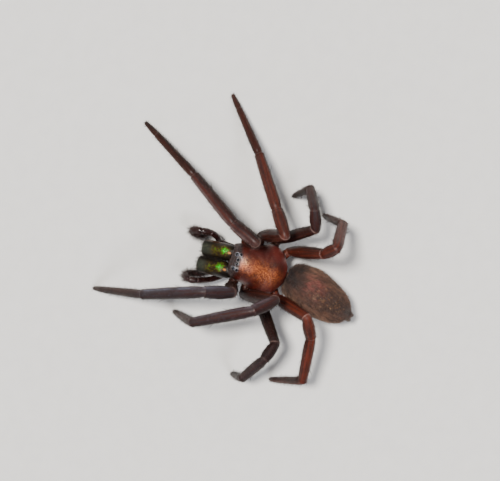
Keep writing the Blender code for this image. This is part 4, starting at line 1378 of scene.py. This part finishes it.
def build_legs():
    skin_finish = leg_finish()
    hair = leg_hair_finish()
    spine_finish = plain_finish("spine_finish", (0.010, 0.006, 0.005), (0.035, 0.016, 0.012), 0.36)
    spines, claws = [], []
    for (number, side), (red, grey, line) in LEG_TONES.items():
        points = leg_points(number, side)
        skin = limb_skin(points, LEG_FORMS, LEG_BUILD[number], JOINT_PALENESS,
                         sink=COXA_SUNK, red=red, grey=grey, line=line)
        leg = f"leg_{number}_{SIDE_NAMES[side]}"
        slot = "leg_cuticle" if number < 3 else "hind_leg_cuticle"
        nodes = [f"{leg}_{part}" for part in ("coxa", "femur", "patella", "tibia", "foot")]
        link_skins(leg + "_skin", [skin], skin_finish, nodes)
        part = skin.values["part"]
        bare = 1 - np.clip(skin.values["pale"] * 1.6, 0, 0.85)
        density = bare * np.where(part < 1, 0.35, 1.0) * np.where(part > 4, 1.25, 1.0)
        size = np.where(part > 5, 0.85, 1.0) * np.where(part < 1, 0.7, 1.0)
        coat = Coat(100 + number * 10 + side)
        share = HAIR_SHARES[number]
        coat.grow(skin, LEG_TUFT, share, density=density, size=size)
        coat.grow(skin, LEG_LONG_TUFT, share, density=density * np.where(part < 1, 0.1, 1.0), size=size)
        coat.build(leg + "_coat", hair, slot)
        spines.extend(spines_of(number, side, points))
        claws.extend(claws_of(points))
    link_skins("leg_spines", spines, spine_finish)
    link_skins("leg_claws", claws, spine_finish)


def palp_skin(side):
    line = np.array(PALP_LINES[side])
    first = line[1] - line[0]
    line[0] -= first / np.linalg.norm(first) * PALP_SUNK
    walked = np.concatenate([[0.0], np.cumsum(np.linalg.norm(np.diff(line, axis=0), axis=1))])
    table = [(place, *spot) for place, spot in zip(walked, line)]
    joints = [walked[row] / walked[-1] for row in PALP_JOINTS]
    shares = np.linspace(0.0, 1.0, PALP_RINGS)
    path = [Vector(read_shape(table, share * walked[-1])) for share in shares]
    turns = np.arange(LIMB_SIDES) * 2 * math.pi / LIMB_SIDES
    skin = Skin()
    upward = UP
    for step, (share, point) in enumerate(zip(shares, path)):
        heading = (path[min(step + 1, PALP_RINGS - 1)] - path[max(step - 1, 0)]).normalized()
        across, upward = side_axes(heading, upward)
        radius = read_shape(PALP_SHAPE, share)[0]
        groove, pale = 0.0, 0.0
        for joint in joints:
            groove = max(groove, bump(share, joint, 0.009))
            pale = max(pale, math.exp(-((share - joint + 0.014) / 0.008) ** 2))
        radius *= 1 - 0.13 * groove + 0.04 * pale
        part = float(np.searchsorted(joints, share))
        pale *= 0.35 if part < 1 else 0.12
        skin.add(oval(point, across, upward, radius, radius, LIMB_SIDES), part=part, pale=pale,
                 place=share * walked[-1], red=0.25, grey=0.30, foot=0.0, line=0.0,
                 round_x=np.cos(turns), round_y=np.sin(turns))
    return skin.settle()


def build_palps():
    skin_finish = plain_finish("palp_finish", (0.012, 0.0040, 0.0040), (0.024, 0.0070, 0.0060),
                               0.26, 1.4, 0.2, pale=(0.13, 0.080, 0.072), Specular_IOR_Level=0.45,
                               Coat_Weight=0.08, Coat_Roughness=0.24)
    hair = leg_hair_finish()
    for side in (RIGHT, LEFT):
        skin = palp_skin(side)
        palp = f"palp_{SIDE_NAMES[side]}"
        nodes = [palp + "_arm", palp + "_hand"]
        link_skins(palp + "_skin", [skin], skin_finish, nodes)
        part = skin.values["part"]
        density = np.where(part < 1, 0.10, 1.0) * np.where(part > 1.5, 2.0, 1.0)
        size = np.where(part < 1, 0.6, 1.0) * np.where(part > 2.5, 1.2, 1.0)
        coat = Coat(300 + side)
        coat.grow(skin, PALP_TUFT, density=density, size=size)
        coat.grow(skin, PALP_LONG_TUFT, density=np.where(part > 1.5, 1.0, 0.03), size=size)
        coat.build(palp + "_coat", hair, "leg_cuticle")


# Jaws


def chelicera_line(side):
    """Root centre and direction of one jaw."""
    x = CHELICERA_MIDDLE_X + side * CHELICERA_SPREAD
    root = Vector((x, CARAPACE_FRONT_Y - GAP / 2, CHELICERA_ROOT_Z))
    along = direction(LEFT, CHELICERA_TURN - side * CHELICERA_CLOSE, CHELICERA_LIFT)
    return root, along


def jaw_values(side, share, off_ridge, sine):
    """What the finish and the coat read at one point of a jaw."""
    green_share, green_off, green_wide, boss_share, boss_off = JAW_MARKS[side]
    top = max(sine, 0.0) ** 0.6
    # iridescent green, painted brighter in a patch as a highlight
    bright = bump(share, green_share, green_wide)
    bright *= bump(off_ridge, green_off, 0.48)
    beyond = (share - green_share - 0.34) / 0.20
    faint = 0.34 * math.exp(-beyond ** 2 - (off_ridge / 0.60) ** 2)
    onward = (share - boss_share) * CHELICERA_LENGTH / 0.20
    boss = math.hypot(onward, (off_ridge - boss_off) / 0.17)
    return {
        "green_and_glint": min(top * (bright + faint), 1.0),
        "painted_top_sheen": float(smooth(share, 0.46, 0.80)) * top * math.exp(-(off_ridge / 0.62) ** 4),
        "orange": float(1 - smooth(boss, 0.5, 1.0)) if sine > 0 else 0.0,
        "flank": float(smooth(-off_ridge, 0.75, 0.95)) * float(smooth(share, 0.2, 0.6)) * 0.7,
        "inner": float(smooth(off_ridge, 0.70, 0.95)) * float(smooth(sine, -0.5, 0.1)),
    }


def chelicera_skin(side):
    root, along = chelicera_line(side)
    across, upward = side_axes(along)
    inward = -side if across.x > 0 else side
    first, last = CHELICERA_SHAPE[0][0], CHELICERA_SHAPE[-1][0]
    skin = Skin()
    for step in range(CHELICERA_RINGS):
        share = first + (last - first) * step / (CHELICERA_RINGS - 1)
        # rings are closer where the end rounds over
        if share > 0.9:
            share = 0.9 + (last - 0.9) * (1 - (1 - (share - 0.9) / (last - 0.9)) ** 1.6)
        width, height = read_shape(CHELICERA_SHAPE, share)
        centre = root + along * CHELICERA_LENGTH * share
        square = 1 - 0.24 * float(smooth(share, 0.3, 0.95))
        ring, values = [], []
        for cosine, sine in steps_round(CHELICERA_SIDES):
            off_ridge = cosine * inward
            wide = CHELICERA_HALF_WIDTH * width * (CHELICERA_INNER if off_ridge > 0 else 1.0)
            tall = CHELICERA_HALF_HEIGHT * height
            sideways = math.copysign(abs(cosine) ** square, cosine)
            rise = math.copysign(abs(sine) ** square, sine)
            ring.append(centre + across * wide * sideways + upward * tall * rise)
            values.append(jaw_values(side, share, off_ridge, sine))
        skin.add(ring, **gather(values), along=share, pale=0.0)
    return skin.settle()


def build_chelicerae():
    finish = chelicera_finish()
    hair_look, colour = hair_finish("chelicera_hair", (0.005, 0.0035, 0.003), (0.018, 0.013, 0.010),
                                    (0.12, 0.08, 0.05), 0.04, sheen=0.0)
    hair = hair_look.use(Base_Color=colour)
    fang_finish = plain_finish("fang_finish", (0.012, 0.003, 0.003), (0.055, 0.010, 0.007), 0.20,
                               Coat_Weight=0.6, Coat_Roughness=0.08)
    for side in (RIGHT, LEFT):
        skin = chelicera_skin(side)
        name = f"chelicera_{SIDE_NAMES[side]}"
        link_skins(name + "_skin", [skin], finish, [name])
        along = skin.values["along"]
        density = smooth(along, 0.08, 0.6) + 0.15
        coat = Coat(400 + side)
        coat.grow(skin, JAW_TUFT, density=density)
        coat.grow(skin, JAW_LONG_TUFT, density=smooth(along, 0.55, 0.9) + 0.02)
        # the fringe that closes the cleft between the jaws
        inner = skin.values["inner"] * smooth(along, 0.05, 0.2)
        coat.grow(skin, JAW_FRINGE_TUFT, density=inner + 1e-6)
        coat.build(name + "_coat", hair, "chelicera_cuticle")
        build_fang(side, fang_finish)


def build_fang(side, finish):
    """Curved fang, hinged under the end of the jaw and folded back along its inner side."""
    root, along = chelicera_line(side)
    upward = side_axes(along)[1]
    inward = Vector((-side, 0, 0))
    jaw_end = root + along * (CHELICERA_LENGTH + GAP / 2)

    def place(offsets):
        return jaw_end + along * offsets[0] + upward * offsets[1] + inward * offsets[2]

    hinge, bend, tip = place(FANG_HINGE), place(FANG_BEND), place(FANG_TIP)
    skin = Skin()
    for step in range(FANG_RINGS):
        t = step / (FANG_RINGS - 1)
        centre = hinge * (1 - t) ** 2 + bend * 2 * t * (1 - t) + tip * t * t
        heading = ((bend - hinge) * (1 - t) + (tip - bend) * t).normalized()
        wide, tall = side_axes(heading, inward)
        radius = FANG_RADIUS + (FANG_TIP_RADIUS - FANG_RADIUS) * t ** FANG_TAPER
        skin.add(oval(centre, wide, tall, radius, radius, FANG_SIDES), pale=0.0)
    skin.settle()
    name = f"fang_{SIDE_NAMES[side]}"
    link_skins(name + "_tooth", [skin], finish, [name])


# Underside, waist, abdomen and spinnerets


def build_underside():
    """Breastplate with the soft sides of the body above it, lip and mouthparts."""
    finish = plain_finish("under_cuticle_finish", (0.020, 0.009, 0.007), (0.060, 0.022, 0.014), 0.36,
                          pale=(0.30, 0.17, 0.13), Specular_IOR_Level=0.5)
    skins = []
    core = Skin()
    front = STERNUM_FRONT_Y + STERNUM_SET_BACK
    for step in range(STERNUM_RINGS):
        share = step / (STERNUM_RINGS - 1)
        plate, soft, belly = read_shape(STERNUM_SHAPE, share)
        y = front + (STERNUM_REAR_Y + 0.25 - front) * share
        top = CARAPACE_FLOOR_Z + 0.10
        ring, pale = [], []
        for cosine, sine in steps_round(STERNUM_SIDES):
            level = (sine + 1) / 2
            half = plate + (soft - plate) * float(smooth(level, 0.25, 0.9))
            z = belly + (top - belly) * level
            ring.append(Vector((half * math.copysign(abs(cosine) ** 0.7, cosine), y, z)))
            pale.append(float(smooth(level, 0.35, 0.6)) * 0.9)
        core.add(ring, pale=pale)
    skins.append(core.settle())
    for start, end, wide, tall in MOUTHPARTS:
        start, end = Vector(start), Vector(end)
        along = (end - start).normalized()
        across, upward = side_axes(along)
        lobe = Skin()
        for step in range(1, MOUTHPART_RINGS):
            angle = math.pi * step / MOUTHPART_RINGS
            t = (1 - math.cos(angle)) / 2
            size = math.sin(angle) ** 0.6
            lobe.add(oval(start.lerp(end, t), across, upward, wide * size, tall * size, 28), pale=0.0)
        skins.append(lobe.settle())
    link_skins("sternum_skin", skins, finish, ["sternum"])
    hair_look, colour = hair_finish("under_hair", (0.020, 0.012, 0.010), (0.10, 0.065, 0.048),
                                    (0.36, 0.26, 0.20), 0.05)
    coat = Coat(500)
    low = (skins[0].points[..., 2] < 3.3).astype(float)
    coat.grow(skins[0], STERNUM_TUFT, density=low + 1e-6, map_part=(0.0, 0.6))
    for number, lobe in enumerate(skins[1:]):
        coat.grow(lobe, MOUTH_TUFT, map_part=(0.62 + 0.12 * number, 0.73 + 0.12 * number))
    coat.build("sternum_coat", hair_look.use(Base_Color=colour), "under_cuticle")
    # waist
    start = Vector((0, STERNUM_REAR_Y - 0.1, PEDICEL_Z))
    waist = Skin()
    for step in range(PEDICEL_RINGS):
        t = step / (PEDICEL_RINGS - 1)
        size = PEDICEL_RADIUS * (1.0 + 0.14 * math.cos(t * 4 * math.pi))
        centre = start + Vector((0, (PEDICEL_LENGTH + 2 * GAP + 0.7) * t, 0.05 * t))
        waist.add(oval(centre, Vector((1, 0, 0)), UP, size, size, 28), pale=0.25)
    link_skins("pedicel_skin", [waist.settle()], finish,
               ["pedicel"])


def abdomen_frame():
    """Front centre of the abdomen, its axis toward the tail and its two side axes."""
    front = Vector((0, STERNUM_REAR_Y + GAP + PEDICEL_LENGTH + GAP, ABDOMEN_Z))
    tailward = direction(LEFT, 180 - ABDOMEN_TURN, -ABDOMEN_DROOP)
    across, upward = side_axes(tailward)
    return front, tailward, across, upward


def abdomen_values(share, off, sine):
    """What the finish and the coat read at one point of the abdomen."""
    back = max(sine, 0.0)
    below = max(-sine, 0.0)
    shoulder = 1.0 - 0.45 * float(smooth(off, 0.2, 1.4))
    stripe = bump(off, 0.0, 0.42)
    stripe *= float(smooth(share, 0.08, 0.14) * (1 - smooth(share, 0.40, 0.55)))
    strip = bump(off, -0.15, 0.80) * float(smooth(share, 0.20, 0.40))
    saddle = bump(off, -0.7, 1.45)
    lungs = math.exp(-((share - 0.16) / 0.045) ** 2 - ((abs(off) - 1.0) / 0.45) ** 2)
    return {
        # paler sides, painted lighter on the left as a sheen
        "flank": float(smooth(0.85 - sine, 0.0, 0.7)) * (1.0 if off > 0 else 0.75),
        "wine": back * math.exp(-((share - 0.27) / 0.17) ** 2 - ((off + 0.55) / 1.25) ** 2),
        "front": float(1 - smooth(share, 0.03, 0.17)) * shoulder,
        "heart": back * stripe * 0.35,
        "pale": below * lungs,
        "rear": back * strip * float(1 - smooth(share, 0.66, 0.84)),
        "dusk": back ** 0.5 * saddle * float(smooth(share, 0.34, 0.56)),
    }


def abdomen_skin():
    front, tailward, across, upward = abdomen_frame()
    # the side of the frame that points to the spider's own left
    leftward = 1 if across.x > 0 else -1
    skin = Skin()
    rows = []
    for step in range(ABDOMEN_RINGS):
        share = (1 - math.cos(math.pi * step / (ABDOMEN_RINGS - 1))) / 2
        rows.append((share, read_shape(ABDOMEN_SHAPE, share)[0], 0.0))
    turns = np.arange(ABDOMEN_SIDES) * 2 * math.pi / ABDOMEN_SIDES
    for share, size, out in (*ABDOMEN_FRONT_RINGS, *rows, *ABDOMEN_REAR_RINGS):
        centre = front + tailward * (ABDOMEN_LENGTH * share + out)
        half_width = ABDOMEN_HALF_WIDTH * size - min(ABDOMEN_COAT, size)
        half_height = ABDOMEN_HALF_HEIGHT * size - min(ABDOMEN_COAT, size)
        ring, values = [], []
        for cosine, sine in steps_round(ABDOMEN_SIDES):
            point = centre + across * half_width * cosine + upward * half_height * sine
            outward = (across * cosine + upward * sine).normalized()
            ripple = noise.noise(point * 0.9) * 0.05 + noise.noise(point * 2.3) * 0.022
            off = cosine * leftward * ABDOMEN_HALF_WIDTH * size
            for spot_share, spot_off in MUSCLE_SPOTS:
                away = math.hypot((share - spot_share) * ABDOMEN_LENGTH, abs(off) - spot_off)
                if sine > 0:
                    ripple -= SPOT_DEPTH * bump(away, 0.0, SPOT_WIDTH)
            ring.append(point + outward * ripple * min(size * 2, 1))
            values.append(abdomen_values(share, off, sine))
        skin.add(ring, **gather(values), round_x=np.cos(turns), round_y=np.sin(turns),
                 place=ABDOMEN_LENGTH * share + out)
    return skin.settle()


def build_abdomen():
    skin = abdomen_skin()
    link_skins("abdomen_skin", [skin], abdomen_finish(),
               ["abdomen"])
    hair = abdomen_hair_finish()
    density = 1 - skin.values["pale"] * 0.8
    size = 1 + 0.25 * skin.values["front"]
    kinds = (
        ("abdomen_coat", ABDOMEN_TUFT, density, size, hair),
        ("abdomen_long_coat", ABDOMEN_LONG_TUFT, density, size, hair),
        ("abdomen_glints", ABDOMEN_GLINT, skin.values["rear"] + 1e-6, None, abdomen_glint_finish()),
    )
    for seed, (name, tuft, where, sizes, finish) in enumerate(kinds, 601):
        coat = Coat(seed)
        coat.grow(skin, tuft, density=where, size=sizes)
        coat.build(name, finish, "abdomen_velvet")


def build_spinnerets():
    """Base against the tail of the abdomen, with three pairs of jointed cones."""
    finish = plain_finish("spinneret_finish", (0.026, 0.013, 0.010), (0.070, 0.036, 0.026), 0.45)
    front, tailward, across, upward = abdomen_frame()
    tail = front + tailward * (ABDOMEN_LENGTH + GAP)
    base = Skin()
    for share, size in SPINNERET_BASE_RINGS:
        centre = tail + tailward * SPINNERET_BASE_DEPTH * share
        wide = SPINNERET_BASE_RADIUS * size * SKIN_SHARE
        base.add(oval(centre, across, upward, wide, wide, 30), pale=0.0)
    skins = [base.settle()]
    for off_middle, height, radius, length in SPINNERETS:
        for side in (RIGHT, LEFT):
            root = tail + across * side * off_middle + upward * height
            root += tailward * SPINNERET_BASE_DEPTH * 0.4
            aim = tailward + across * side * SPINNERET_SPLAY
            aim += upward * (height * SPINNERET_FAN - SPINNERET_DROOP)
            aim.normalize()
            wide, tall = side_axes(aim)
            cone = Skin()
            whole = length + SPINNERET_BASE_DEPTH * 0.6
            for share, size in SPINNERET_RINGS:
                ring = oval(root + aim * whole * share, wide, tall, radius * size, radius * size, 20)
                cone.add(ring, pale=0.35 if share == SPINNERET_JOINT else 0.0)
            skins.append(cone.settle())
    link_skins("spinnerets_skin", skins, finish,
               ["spinnerets"])
    hair_look, colour = hair_finish("spinneret_hair", (0.03, 0.02, 0.016), (0.14, 0.10, 0.075),
                                    (0.40, 0.28, 0.18), 0.05)
    coat = Coat(700)
    coat.grow(skins[0], SPINNERET_BASE_TUFT, map_part=(0.0, 0.3))
    for number, cone in enumerate(skins[1:]):
        low = 0.32 + 0.11 * number
        coat.grow(cone, SPINNERET_TUFT, map_part=(low, low + 0.10))
    coat.build("spinnerets_coat", hair_look.use(Base_Color=colour), "under_cuticle")


# Floor, light and camera


# half width of the floor, in metres
FLOOR_HALF_WIDTH = 1.5


def build_stage():
    f = Finish("floor_finish", Roughness=0.85, Specular_IOR_Level=0.2)
    paper = f.noise(0.5, 4)
    colour = f.mix(f.span(paper, 0.2, 0.8), (0.90, 0.89, 0.87), (0.94, 0.93, 0.91))
    material = f.use(Base_Color=colour)
    mesh = bpy.data.meshes.new("floor")
    corners = ((-1, -1), (1, -1), (1, 1), (-1, 1))
    corners = [(x * FLOOR_HALF_WIDTH, y * FLOOR_HALF_WIDTH, 0) for x, y in corners]
    mesh.from_pydata(corners, [], [(0, 1, 2, 3)])
    mesh.materials.append(material)
    floor = bpy.data.objects.new("floor", mesh)
    bpy.context.scene.collection.objects.link(floor)
    world = bpy.data.worlds.new("studio")
    world.use_nodes = True
    backdrop = world.node_tree.nodes["Background"]
    backdrop.inputs["Color"].default_value = (0.78, 0.80, 0.86, 1.0)
    backdrop.inputs["Strength"].default_value = 0.16
    bpy.context.scene.world = world


def add_light(name, way, strength, softness, colour):
    """Soft light from far away. softness is the angle in degrees that it spreads over."""
    lamp = bpy.data.lights.new(name, "SUN")
    lamp.energy = strength
    lamp.angle = math.radians(softness)
    lamp.color = colour
    item = bpy.data.objects.new(name, lamp)
    item.rotation_mode = "QUATERNION"
    item.rotation_quaternion = Vector(way).to_track_quat("Z", "Y")
    bpy.context.scene.collection.objects.link(item)


def build_lights():
    add_light("key", (-0.10, -0.40, 0.90), 4.6, 9.0, (1.0, 0.96, 0.90))
    add_light("top", (0.25, 0.30, 0.92), 1.0, 20.0, (0.96, 0.97, 1.0))
    add_light("left_fill", (0.85, -0.25, 0.45), 0.30, 25.0, (0.80, 0.83, 1.0))
    add_light("right_fill", (-0.9, 0.2, 0.45), 0.20, 25.0, (1.0, 0.93, 0.86))


# camera: tilt toward the head, tilt toward the right, turn of the picture, all in degrees
CAMERA_TILT = 11.0
CAMERA_LEAN = 3.0
CAMERA_TURN = 16.726
CAMERA_DISTANCE = 0.2
CAMERA_LEFT = 1.116
CAMERA_RISE = 3.397
CAMERA_LENS = 114.59
PIVOT_Z = 0.005


def build_camera():
    tilt, lean, turn = (math.radians(value) for value in (CAMERA_TILT, CAMERA_LEAN, CAMERA_TURN))
    back = Vector((-math.sin(lean), -math.sin(tilt), 0))
    back.z = math.sqrt(1 - back.length_squared)
    level = Vector((0, 1, 0))
    level = (level - back * level.dot(back)).normalized()
    upright = back.cross(level)
    right = level * math.cos(turn) + upright * math.sin(turn)
    top = upright * math.cos(turn) - level * math.sin(turn)
    pivot = Vector((SHIFT.x, SHIFT.y, PIVOT_Z))
    place = pivot + back * CAMERA_DISTANCE - right * CAMERA_LEFT * MM + top * CAMERA_RISE * MM
    lens = bpy.data.cameras.new("camera")
    lens.lens = CAMERA_LENS
    lens.sensor_width = 36
    lens.clip_start = 0.01
    camera = bpy.data.objects.new("camera", lens)
    camera.matrix_world = Matrix((
        (right.x, top.x, back.x, place.x),
        (right.y, top.y, back.y, place.y),
        (right.z, top.z, back.z, place.z),
        (0, 0, 0, 1),
    ))
    bpy.context.scene.collection.objects.link(camera)
    bpy.context.scene.camera = camera


build_camera()
build_stage()
build_lights()
build_carapace()
build_eyes()
build_chelicerae()
build_palps()
build_legs()
build_underside()
build_abdomen()
build_spinnerets()
